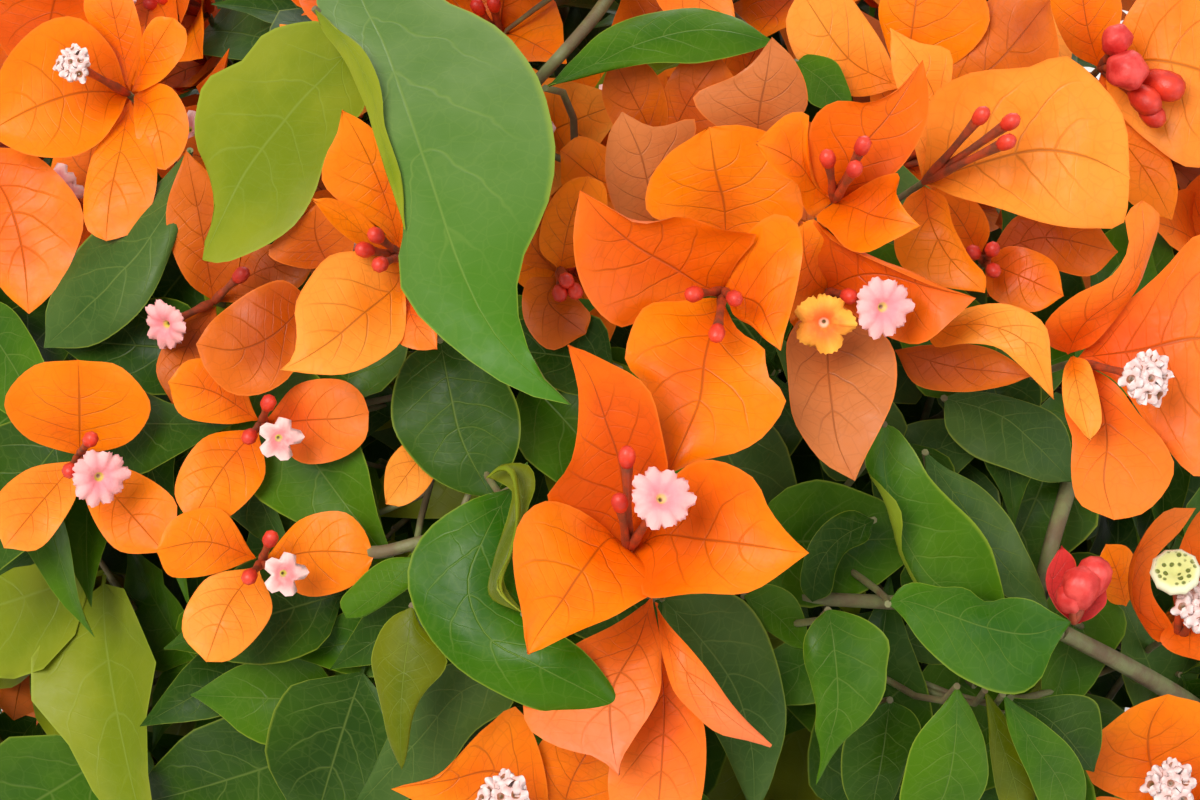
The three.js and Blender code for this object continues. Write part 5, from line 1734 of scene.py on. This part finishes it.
def grown(name, places, tree, values):
    """The plain mesh that a tree grows on a mesh of places."""
    source = show(f"{name}_places", places)
    modifier = source.modifiers.new("grow", "NODES")
    modifier.node_group = tree
    for item in tree.interface.items_tree:
        if item.in_out == "INPUT" and item.name in values:
            modifier[item.identifier] = values[item.name]
    graph = bpy.context.evaluated_depsgraph_get()
    shaped = source.evaluated_get(graph)
    mesh = bpy.data.meshes.new_from_object(shaped, preserve_all_data_layers=True, depsgraph=graph)
    source.modifiers.clear()
    bpy.data.objects.remove(source)
    mesh.name = name
    return show(name, mesh)


def template_box(name, meshes):
    """A collection of templates that stays out of the scene."""
    box = bpy.data.collections.new(name)
    for i, mesh in enumerate(meshes):
        box.objects.link(bpy.data.objects.new(f"{name}_{i:02d}", mesh))
    return box


def spray(name, matrices, kinds, box, material):
    """Deals the templates of a box out to places, each with its turn and size, as one piece."""
    mesh = bpy.data.meshes.new(name)
    mesh.from_pydata([m.to_translation() for m in matrices], [], [])
    turns = np.array([m.to_euler("XYZ") for m in matrices], np.float32)
    mesh.attributes.new("turn", "FLOAT_VECTOR", "POINT").data.foreach_set("vector", turns.ravel())
    sizes = [m.to_scale().x for m in matrices]
    mesh.attributes.new("size", "FLOAT", "POINT").data.foreach_set("value", sizes)
    mesh.attributes.new("kind", "INT", "POINT").data.foreach_set("value", kinds)
    return grown(name, mesh, SPRAY_TREE, {"Blades": box, "Finish": material})


def tubes(name, runs, sides, material):
    """Tubes along runs of points, each with its radius, as one piece."""
    mesh = bpy.data.meshes.new(name)
    points, edges, thick = [], [], []
    for run in runs:
        edges += [(len(points) + i, len(points) + i + 1) for i in range(len(run) - 1)]
        points += [point for point, _ in run]
        thick += [radius for _, radius in run]
    mesh.from_pydata(points, edges, [])
    mesh.attributes.new("thick", "FLOAT", "POINT").data.foreach_set("value", thick)
    return grown(name, mesh, TUBE_TREE, {"Sides": sides, "Finish": material})


# Skins over rings of points

def turns_of(around):
    return [2 * math.pi * k / around for k in range(around)]


def circle(radius, height, around):
    return [(radius * math.cos(turn), radius * math.sin(turn), height) for turn in turns_of(around)]


def ring_faces(rings, around):
    """Four-sided faces from each ring of points to the next."""
    faces = []
    for i in range(rings - 1):
        for k in range(around):
            a, b = i * around + k, i * around + (k + 1) % around
            faces.append([a, b, b + around, a + around])
    return faces


def ring_skin(rings):
    """The points and faces of a skin over rings of points, with a flat cap at both ends."""
    around = len(rings[0])
    points = [point for ring in rings for point in ring]
    last = len(points) - around
    caps = [list(range(around))[::-1], list(range(last, len(points)))]
    return points, ring_faces(len(rings), around) + caps


def welded(name, points, faces, places=None):
    """A mesh whose points at one place are merged."""
    heap = Heap()
    heap.add(np.array(points, float), faces, places)
    mesh = heap.mesh(name)
    work = bmesh.new()
    work.from_mesh(mesh)
    bmesh.ops.remove_doubles(work, verts=work.verts, dist=1e-7)
    bmesh.ops.dissolve_degenerate(work, edges=work.edges, dist=1e-8)
    bmesh.ops.recalc_face_normals(work, faces=work.faces)
    work.to_mesh(mesh)
    work.free()
    mesh.shade_smooth()
    return mesh


# Flower heads

def disc_mesh(name, radius, lobes, notch, ruffle, rings, around, dome):
    """An open flower head: a ruffled disc of round lobes, closed underneath by a cone."""
    points, faces, places = [], [], []
    for ring in range(rings + 1):
        share = ring / rings
        for turn in turns_of(around):
            round_lobe = math.sqrt(abs(math.cos(lobes * turn / 2)))
            between = 0.5 + 0.5 * math.cos(lobes * turn / 2 + math.pi)  # deeper where two petals meet
            uneven = 0.05 * math.sin(3 * turn + 1) + 0.03 * math.cos(7 * turn)
            uneven += 0.035 * share * math.sin(33 * turn)
            cut = (notch + 0.12 * between) * share ** 2 * (1 - round_lobe)
            reach = radius * share * (1 + uneven * share - cut)
            wave = ruffle * share ** 2 * (math.cos(lobes * turn) + 0.8 * math.cos(lobes * turn / 2))
            height = dome * math.sin(math.pi * share) + wave - 0.3 * (1 - share) ** 4
            points.append((reach * math.cos(turn), reach * math.sin(turn), radius * height))
    under = len(points)
    foot = under + around
    points += [*circle(0.2 * radius, -0.5 * radius, around), (0, 0, -0.5 * radius)]
    for i, (a, b, c, d) in enumerate(ring_faces(rings + 1, around)):
        faces.append([a, d, c, b])
        low, high = i // around / rings, (i // around + 1) / rings
        places += [(0.5, low), (0.5, high), (0.5, high), (0.5, low)]
    for k in range(around):
        after = (k + 1) % around
        rim = rings * around
        faces.append([rim + k, under + k, under + after, rim + after])
        places += [(1.5, 1), (1.5, 0.4), (1.5, 0.4), (1.5, 1)]
        faces.append([under + k, foot, under + after])
        places += [(1.5, 0.4)] * 3
    return welded(name, points, faces, places)


def frilly_mesh(name):
    """A cluster of small frilled florets, each with its own mouth, over one ruffled disc."""
    heap = Heap()
    dice = Dice(77)
    floret = disc_mesh("floret", 0.47, 5, 0.2, 0.2, 3, 30, 0.3)
    under = disc_mesh("under", 0.94, 11, 0.24, 0.2, 4, 66, 0.2)
    spots = [Vector((0.0, 0.0, 0.34))]
    beside = 8
    for k in range(beside):
        turn, far = 2 * math.pi * (k + dice.between(-0.3, 0.3)) / beside, dice.between(0.5, 0.74)
        spots.append(Vector((far * math.cos(turn), far * math.sin(turn), dice.between(0.1, 0.3))))
    shapes = [(under, Matrix.Identity(4), 1.0)]
    for spot in spots:
        way = Vector((spot.x, spot.y, 1.1)).normalized()
        side = direction(dice.between(0, 6.3), 0)
        shapes.append((floret, frame_of(spot, way, side, dice.between(0.8, 1.15)), 2.0))
    for shape, matrix, power in shapes:
        points = np.array([v.co for v in shape.vertices])
        corners = [tuple(corner.uv) for corner in shape.uv_layers["UVMap"].data]
        faces = [list(p.vertices) for p in shape.polygons]
        heap.add(put(points, matrix), faces, [(u, v ** power) for u, v in corners])
    for scrap in (floret, under):
        bpy.data.meshes.remove(scrap)
    return heap.mesh(name)


def lathe_mesh(name, profile, around, ripple=0.0, lobes=5):
    """A turned shape, closed on its axis at both ends."""
    points, places = [], []
    for radius, height in profile:
        for turn in turns_of(around):
            reach = radius * (1 + ripple * math.cos(lobes * turn))
            points.append((reach * math.cos(turn), reach * math.sin(turn), height))
    last = len(profile) - 1
    for i in range(last):
        places += [(0.5, i / last), (0.5, i / last), (0.5, (i + 1) / last), (0.5, (i + 1) / last)] * around
    return welded(name, points, ring_faces(len(profile), around), places)


BUD_PROFILE = ((0, -0.5), (0.3, -0.46), (0.42, -0.2), (0.46, 0.15), (0.42, 0.45), (0.26, 0.68), (0, 0.76))
CREAM_PROFILE = (
    (0, -0.4), (0.5, -0.3), (0.95, 0), (1, 0.25), (0.8, 0.42), (0.4, 0.36), (0.2, 0.2), (0, 0.16),
)


def head_meshes():
    return {
        "pink": disc_mesh("pink", 1.0, 10, 0.08, 0.06, 8, 80, 0.16),
        "golden": disc_mesh("golden", 1.0, 5, 0.16, 0.2, 8, 80, 0.16),
        "white": frilly_mesh("white"),
        "small": disc_mesh("small", 0.8, 5, 0.3, 0.06, 2, 20, 0.14),
        "bud": lathe_mesh("bud", BUD_PROFILE, 8),
        "closed": lathe_mesh("closed", [(1.5 * r, 1.3 * h) for r, h in BUD_PROFILE], 30, 0.07),
        "cream": lathe_mesh("cream", [(0.85 * r, h) for r, h in CREAM_PROFILE], 30, 0.04, 10),
    }


# Limbs with the bark's relief

def bark_height(point, size):
    """Relief of the bark: long cracks, and knots."""
    stretched = Vector((point.x * 260, point.y * 260, point.z * 62))
    return size * (0.075 * noise.fractal(stretched, 0.6, 2.1, 4) + 0.07 * noise.noise(point * 90))


def limb_mesh(heap, line, radius_at, steps, around, start=0.0):
    """A tapering limb with bark, closed at both ends."""
    normal = line.way(0).orthogonal().normalized()
    rings = []
    for i in range(steps + 1):
        share = start + (1 - start) * i / steps
        centre, way = line.at(share), line.way(share)
        normal = (normal - way * normal.dot(way)).normalized()
        cross = way.cross(normal)
        radius = radius_at(share)
        outward = [normal * math.cos(turn) + cross * math.sin(turn) for turn in turns_of(around)]
        rings.append([])
        for out in outward:
            point = centre + out * radius
            rings[-1].append(point + out * bark_height(point, radius))
    points, faces = ring_skin(rings)
    heap.add(np.array(points), faces)


def thorn_run(line, share, turn, length, radius):
    """A slender curved spine that stands out of a limb."""
    foot, along = line.at(share), line.way(share)
    out = Vector((math.cos(turn), math.sin(turn), 0))
    out = (out - along * out.dot(along)).normalized()
    tip = foot + out * (radius + length) + along * (0.25 * length)
    curve = bent_line(foot, foot + out * (radius + 0.6 * length), tip)
    return [(curve.at(i / 5), mix(0.0013, 0.00015, (i / 5) ** 0.8)) for i in range(6)]


THORNS = {"turn": 2.4, "trunk": (0.3, 0.42, 0.55, 0.7), "bough": (0.45, 0.7), "long": 0.01, "short": 0.007}


def make_limbs(bark):
    """The trunk and the boughs with their bark. It returns the runs of the thorns on them."""
    trunk, boughs, thorns = Heap(), Heap(), []
    limb_mesh(trunk, TRUNK_LINE, trunk_radius, 130, 44, 0.04)
    settle(show("trunk_bark", trunk.mesh("trunk_bark"), bark), "bark", "trunk")
    for i, share in enumerate(THORNS["trunk"]):
        turn = THORNS["turn"] * i + 0.9
        thorns.append(thorn_run(TRUNK_LINE, share, turn, THORNS["long"], trunk_radius(share)))
    for mass in MASSES:
        line = mass.bough_line()
        limb_mesh(boughs, line, lambda share: mix(BOUGH["base"], BOUGH["tip"], share), 56, 18)
        for i, share in enumerate(THORNS["bough"]):
            turn = THORNS["turn"] * i + 5 * mass.leaves
            thorns.append(thorn_run(line, share, turn, THORNS["short"], BOUGH["tip"]))
    settle(show("boughs", boughs.mesh("boughs"), bark), "bark", *[f"bough_{mass.name}" for mass in MASSES])
    return thorns


# Pot, soil and plug

POT = {
    "height": 0.16,
    "top": 0.17,
    "foot": 0.126,
    "wall": 0.0026,
    "floor": 0.0032,
    "corner": 0.017,
    "around": 840,
}
RIM = {"height": 0.019, "proud": 0.0032, "groove": 0.0007}
PANELS = {"count": 4, "depth": 0.0015, "low": 0.014, "high": 0.134, "soft": 0.0009, "rib": 0.0025}
DRAIN = {"radius": 0.006, "share": 0.29, "sides": 24}


def pot_side(z):
    return mix(POT["foot"], POT["top"], z / POT["height"])


def square_ring(side, corner, around):
    """Points round a square with round corners, evenly spaced, and the share along its wall of each."""
    straight = side - 2 * corner
    arc = corner * math.pi / 2
    total = 4 * (straight + arc)
    ring = []
    for k in range(around):
        walk = (k / around) * total
        wall = int(walk // (straight + arc)) % 4
        walk -= (straight + arc) * int(walk // (straight + arc))
        if walk < straight:
            x, y, share = walk - straight / 2, -side / 2, walk - straight / 2
            out = Vector((0, -1, 0))
        else:
            turn = (walk - straight) / corner
            out = Vector((math.sin(turn), -math.cos(turn), 0))
            x, y = straight / 2 + corner * out.x, corner - side / 2 + corner * out.y
            share = None
        spin = Matrix.Rotation(wall * math.pi / 2, 3, "Z")
        ring.append((spin @ Vector((x, y, 0)), spin @ out, share))
    return ring


def panel_depth(share, z, pitch):
    """How deep the wall is sunk at a place along it: shallow upright panels with soft edges."""
    if share is None or not PANELS["low"] < z < PANELS["high"]:
        return 0
    if abs(share) > PANELS["count"] * pitch / 2:
        return 0
    soft = PANELS["soft"]
    middle = (share / pitch + PANELS["count"] / 2) % 1 - 0.5
    beside = (0.5 - abs(middle)) * pitch - PANELS["rib"]
    ends = min(z - PANELS["low"], PANELS["high"] - z)
    return PANELS["depth"] * min(max(beside / soft, 0), 1) * min(max(ends / soft, 0), 1)


def pot_rows():
    """The pot's section, up its outside and down its inside: heights, and how far the wall stands proud."""
    low, top, proud, wall = POT["height"] - RIM["height"], POT["height"], RIM["proud"], POT["wall"]
    soft, groove = PANELS["soft"], RIM["proud"] - RIM["groove"]
    heights = [0.0025, PANELS["low"], PANELS["low"] + soft, *np.linspace(0.03, 0.12, 5)]
    heights += [PANELS["high"] - soft, PANELS["high"], low - 0.003, low - 0.0006]
    rows = [(0.0, -0.0012), (0.0012, 0.0)] + [(z, 0.0) for z in heights]
    rows += [(low, proud * 0.5), (low + 0.0004, proud - 0.0003), (low + 0.0012, proud), (low + 0.005, proud)]
    rows += [(low + 0.006, groove), (low + 0.0075, groove), (low + 0.0085, proud), (top - 0.0012, proud)]
    rows += [(top - 0.0003, proud - 0.0005), (top, proud - 0.0014)]
    rows += [(top, 0.0008 - wall), (top - 0.0006, -wall)]
    return rows + [(z, -wall) for z in np.linspace(top - 0.003, POT["floor"], 10)]


def make_pot(material):
    rings, panel_shade = [], []
    flat = POT["top"] - 2 * POT["corner"]
    for z, proud in pot_rows():
        corner = POT["corner"] * pot_side(z) / POT["top"] + proud * 0.6
        pitch = flat * pot_side(z) / POT["top"] / PANELS["count"]
        ring = square_ring(pot_side(z) + 2 * proud, corner, POT["around"])
        depths = [panel_depth(share, z, pitch) if proud == 0.0 else 0 for _, _, share in ring]
        rings.append([p + Vector((0, 0, z)) - out * depth for (p, out, _), depth in zip(ring, depths)])
        panel_shade += [depth / PANELS["depth"] for depth in depths]
    points = [point for ring in rings for point in ring]
    faces = ring_faces(len(rings), POT["around"])
    under = add_floor(points, faces, 0, 0.0, False)
    above = add_floor(points, faces, (len(rings) - 1) * POT["around"], POT["floor"], True)
    join_drains(faces, under, above)
    panel_shade += [0] * (len(points) - len(panel_shade))
    # the first part of the UV places carries the painted shade of the sunk panels
    places = [(panel_shade[i], 0.5) for face in faces for i in face]  # 1 in a panel, 0 beside it
    settle(show("nursery_pot", welded("nursery_pot", points, faces, places), material), "pot_plastic", "pot")


def add_floor(points, faces, first, z, up):
    """A flat floor between the wall's ring and the four drain holes. It returns the holes' first point."""
    work = bmesh.new()
    loops = [[work.verts.new(points[first + k]) for k in range(POT["around"])]]
    for x, y in ((1, 1), (-1, 1), (-1, -1), (1, -1)):
        place = Vector((x, y, 0)) * (DRAIN["share"] * POT["foot"])
        ring = [direction(turn, 0) * DRAIN["radius"] for turn in turns_of(DRAIN["sides"])]
        loops.append([work.verts.new(place + out + Vector((0, 0, z))) for out in ring])
    edges = []
    for loop in loops:
        edges += [work.edges.new((loop[k], loop[(k + 1) % len(loop)])) for k in range(len(loop))]
    bmesh.ops.triangle_fill(work, use_beauty=True, use_dissolve=False, edges=edges)
    base = len(points)
    index = {vert: first + k for k, vert in enumerate(loops[0])}
    for vert in [vert for ring in loops[1:] for vert in ring]:
        index[vert] = len(points)
        points.append(vert.co.copy())
    for face in work.faces:
        turned = [index[v] for v in face.verts]
        if (face.normal.z > 0) != up:
            turned.reverse()
        faces.append(turned)
    work.free()
    return base


def join_drains(faces, under, above):
    """The walls of the drain holes, through the floor."""
    sides = DRAIN["sides"]
    for hole in range(4):
        for k in range(sides):
            a, b = hole * sides + k, hole * sides + (k + 1) % sides
            faces.append([under + b, under + a, above + a, above + b])


SOIL_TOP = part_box("potting_mix")[1].z
SOIL = {"drop": 0.0022, "shoulder": 0.004, "corner": POT["corner"] * 0.9, "around": 240}
PLUG = {"radius": 0.031, "around": 120}


def soil_height(x, y):
    """The rough surface of the potting mix."""
    place = Vector((x * 60, y * 60, 0))
    rough = 0.0022 * noise.noise(place) + 0.0012 * noise.noise(place * 4.3) + 0.0006 * noise.noise(place * 13)
    return SOIL_TOP - SOIL["drop"] + rough


def soil_ring(z):
    side = pot_side(z) - 2 * POT["wall"] - 2 * GAP
    return [place for place, _, _ in square_ring(side, SOIL["corner"], SOIL["around"])]


def make_soil(material):
    """The mix: a closed block whose top is rough, with a hollow round the plug."""
    low = POT["floor"] + GAP
    heights = (low, low + 0.06, SOIL_TOP - SOIL["shoulder"])
    rings = [[p + Vector((0, 0, z)) for p in soil_ring(z)] for z in heights]
    for share in np.linspace(1, 0, 34):
        ring = []
        for place in soil_ring(SOIL_TOP):
            flat = place * (mix(PLUG["radius"] + GAP, place.length, share) / place.length)
            ring.append(Vector((flat.x, flat.y, soil_height(flat.x, flat.y))))
        rings.append(ring)
    rings.append([p - Vector((0, 0, 0.006)) for p in rings[-1]])
    mesh = welded("potting_mix_bed", *ring_skin(rings))
    settle(show("potting_mix_bed", mesh, material), "potting_mix", "potting_mix")


def make_plug(wrap):
    """The plug the plant was raised in: a drum of fleece with creases, and mix on its top."""
    low = [(0.9, -0.008), (0.97, -0.004), (0.99, 0.001), (1.0, 0.004)]  # from the soil's top
    high = [(1.0, -0.004), (0.985, -0.0016), (0.95, -0.0003), (0.9, -0.0012)]  # from the trunk's foot
    high += [(0.8, -0.002), (0.6, -0.002), (0.4, -0.0014), (0.2, -0.0008)]
    rings = []
    for share, z in [(share, SOIL_TOP + z) for share, z in low] + [(share, GROUND + z) for share, z in high]:
        ring = []
        for turn in turns_of(PLUG["around"]):
            crease = 0.0006 * noise.noise(Vector((math.cos(turn) * 5, math.sin(turn) * 5, z * 90)))
            radius = (PLUG["radius"] - 0.0006) * share + crease
            x, y = radius * math.cos(turn), radius * math.sin(turn)
            rough = 0.0008 * noise.noise(Vector((x * 200, y * 200, 3))) if share < 0.96 else 0
            ring.append(Vector((x, y, z + rough)))
        rings.append(ring)
    settle(show("plug_wrapped", welded("plug_wrapped", *ring_skin(rings)), wrap), "plug_wrap", "plug")


def chip_mesh(name, seed, flatness):
    """A small crumb of bark or grit, with a few faces."""
    dice = Dice(seed)
    work = bmesh.new()
    bmesh.ops.create_icosphere(work, subdivisions=1, radius=1)
    for vert in work.verts:
        vert.co *= dice.between(0.65, 1.15)
        vert.co.y *= 0.62
        vert.co.z *= flatness
    mesh = bpy.data.meshes.new(name)
    work.to_mesh(mesh)
    work.free()
    return mesh


CHIPS = {"kinds": 3, "seed": 70, "flatness": 0.34}


def make_crumbs(name, count, seed, sizes, material, box):
    """Crumbs that lie on the mix and on the plug."""
    dice = Dice(seed)
    matrices, kinds = [], []
    half = pot_side(SOIL_TOP) / 2 - POT["wall"] - 0.004
    stem = 0.013  # no crumb lies nearer the trunk's middle
    while len(matrices) < count:
        x, y = dice.between(-half, half), dice.between(-half, half)
        far = math.hypot(x, y)
        if max(abs(x), abs(y)) > half - 0.008 and far > half * 1.2:
            continue
        size = mix(*sizes, dice.roll() ** 2)
        if abs(far - PLUG["radius"]) < 0.0022 + size or far < stem:
            continue
        ground = GROUND - 0.0022 if far < PLUG["radius"] else soil_height(x, y)
        place = Vector((x, y, ground + 0.2 * size))
        turn = Matrix.Rotation(dice.between(0, 6.28), 4, "Z")
        turn = turn @ Matrix.Rotation(dice.between(-0.5, 0.5), 4, "X")
        matrices.append(Matrix.Translation(place) @ turn @ Matrix.Scale(size, 4))
        kinds.append(int(dice.roll() * CHIPS["kinds"]))
    settle(spray(name, matrices, kinds, box, material), "potting_mix")


# The sprays of the crown

SLOTS = {"bracts": "blooming_twigs", "leaves": "leafy_twigs"}
STANDS_FOR = {  # which piece stands for the masses above, and which for those below
    "bracts_vivid": [f"foliage_{mass.name}" for mass in MASSES if mass.way.z > 0],
    "leaves_mid": [f"foliage_{mass.name}" for mass in MASSES if mass.way.z < 0],
}


def deal_blades(shoots, finishes):
    """Joins each sort and tint of blade into a piece of its own, near the eye in a finer form."""
    dealt = {}
    for shoot in shoots:
        for sort, kind, tint, matrix in shoot.blades:
            dealt.setdefault((sort, tint), []).append((kind, matrix))
    boxes = {}
    for sort, (form, _, _) in SORTS.items():
        heaps = [Heap() for _ in TEMPLATES[sort]]
        for heap, points in zip(heaps, TEMPLATES[sort]):
            heap.add(points, *BLADE_FACES[form])
        boxes[sort] = template_box(sort, [heap.mesh(f"{sort}_kind_{i}") for i, heap in enumerate(heaps)])
    for (sort, tint), members in sorted(dealt.items()):
        name, plain = f"{sort}_{tint}", sort.removeprefix("near_")
        kinds, matrices = zip(*members)
        piece = spray(name, matrices, kinds, boxes[sort], finishes[plain, tint])
        settle(piece, SLOTS[plain], *STANDS_FOR.get(name, ()))
    for (sort, tint), heap in sorted(FRONT.items()):
        name = f"front_{sort}_{tint}"
        settle(show(name, heap.mesh(name), finishes[sort, tint]), SLOTS[sort])


HEAD_SIZES = {"white": 0.9, "bud": 0.6, "closed": 0.62}  # the other kinds are as large as HEAD_SIZE


def deal_heads(finishes):
    """Puts the heads on their tubes. Open ones at the front face the eye more than their tubes do."""
    for kind, mesh in head_meshes().items():
        matrices = []
        for place, way, share in [head[1:] for head in HEADS if head[0] == kind]:
            shut = kind in ("bud", "closed")
            face = way if shut else (way + EYE_WAY * (0.7 if at_front(place) else 0)).normalized()
            side = RIGHT if abs(face.x) < 0.9 else UP
            size = HEAD_SIZE * HEAD_SIZES.get(kind, 1.0) * share
            matrices.append(frame_of(place + face * (0 if shut else 0.42 * size), face, side, size))
        box = template_box(f"head_{kind}", [mesh])
        settle(spray(f"heads_{kind}", matrices, [0] * len(matrices), box, finishes[kind]), "blooming_twigs")


# Stage, light and camera

def make_stage():
    finish = Finish("pale_floor")
    pale = finish.done(finish.surface(paint(224, 222, 218), 0.8, None, 0.3))
    mesh = bpy.data.meshes.new("floor")
    half = 14.0
    corners = [(-half, -half, 0), (half, -half, 0), (half, half, 0), (-half, half, 0)]
    mesh.from_pydata(corners, [], [(0, 1, 2, 3)])
    show("floor", mesh, pale)
    world = bpy.data.worlds.new("studio")
    world.use_nodes = True
    background = world.node_tree.nodes["Background"].inputs
    background["Color"].default_value = (0.98, 0.97, 0.96, 1)
    background["Strength"].default_value = 0.7
    bpy.context.scene.world = world


def aim(made, place, way):
    """Puts a lamp or a camera at a place, looking along a way."""
    bpy.context.scene.collection.objects.link(made)
    made.location = place
    made.rotation_euler = way.to_track_quat("-Z", "Y").to_euler()


def add_light(name, place, size, power, color):
    data = bpy.data.lights.new(name, "AREA")
    data.shape = "DISK"
    data.size = size
    data.energy = power
    data.color = color
    aim(bpy.data.objects.new(name, data), place, CROWN["centre"] - Vector(place))


def make_lights():
    add_light("key", (-0.6, -0.9, 1.6), 0.9, 26, (1.0, 0.97, 0.92))
    add_light("fill", (1.3, -0.9, 0.9), 1.2, 8, (0.9, 0.95, 1.0))
    add_light("rim", (0.3, 1.5, 1.2), 1.0, 10, (1.0, 1.0, 1.0))


def make_camera():
    data = bpy.data.cameras.new("camera")
    data.lens = VIEW["lens"]
    data.sensor_width = VIEW["sensor"]
    data.clip_start = 0.01
    camera = bpy.data.objects.new("camera", data)
    aim(camera, EYE, -EYE_WAY)
    bpy.context.scene.camera = camera


def make_bush():
    shoots, fill = grow_shoots()
    bark = bark_finish()
    thorns = make_limbs(bark)
    young = plain_finish("young_wood", (116, 122, 74), (104, 88, 60), 0.6, 160.0, 0.4, 0.0004)
    settle(tubes("twigs", grow_twigs(shoots, fill), 7, young), "bark")
    settle(tubes("thorns", thorns, 8, bark), "bark")
    deal_blades(shoots + fill, blade_finishes())
    tube = plain_finish("flower_tube", (176, 66, 30), (120, 58, 34), 0.5, 300.0, 0.3, 0.0003)
    settle(tubes("flower_tubes", TUBES, 8, tube), "blooming_twigs")
    deal_heads({
        "pink": corolla_finish("corolla_pink", (242, 170, 166), (234, 136, 142), (200, 180, 60)),
        "small": corolla_finish("corolla_small", (246, 200, 192), (234, 140, 140), (206, 190, 70)),
        "golden": corolla_finish("corolla_golden", (244, 162, 56), (236, 106, 40), (236, 180, 150)),
        # the white heads' pinkish middle and brown mouth are painted shadow among the florets
        "white": corolla_finish("corolla_white", (232, 210, 206), (220, 182, 176), (150, 90, 60)),
        "cream": pod_finish(),
        "bud": plain_finish("bud_red", (222, 58, 30), (190, 40, 24), 0.45, 300.0, 0.3, 0.0003),
        "closed": plain_finish("bud_pink", (228, 74, 66), (196, 36, 30), 0.5, 300.0, 0.3, 0.0003),
    })


def make_container():
    make_pot(pot_finish())
    make_soil(plain_finish("potting_mix", (74, 48, 34), (36, 24, 18), 0.95, 220.0, 0.9, 0.0012, 0.2))
    make_plug(plug_finish())
    meshes = [chip_mesh(f"chip_{k}", CHIPS["seed"] + k, CHIPS["flatness"]) for k in range(CHIPS["kinds"])]
    chips = template_box("chip", meshes)
    brown = plain_finish("bark_chip", (128, 74, 48), (78, 46, 32), 0.85, 260.0, 0.6, 0.0006, 0.3)
    make_crumbs("bark_chips", 1500, 81, (0.0008, 0.0032), brown, chips)
    white = plain_finish("perlite", (222, 218, 208), (186, 182, 172), 0.8, 300.0, 0.5, 0.0004, 0.3)
    make_crumbs("perlite", 160, 82, (0.0006, 0.0015), white, chips)


bpy.context.scene.view_settings.view_transform = "Standard"
make_camera()
make_stage()
make_lights()
make_bush()
make_container()

for leftover in [o for o in bpy.data.objects if not o.users_scene]:
    bpy.data.objects.remove(leftover)
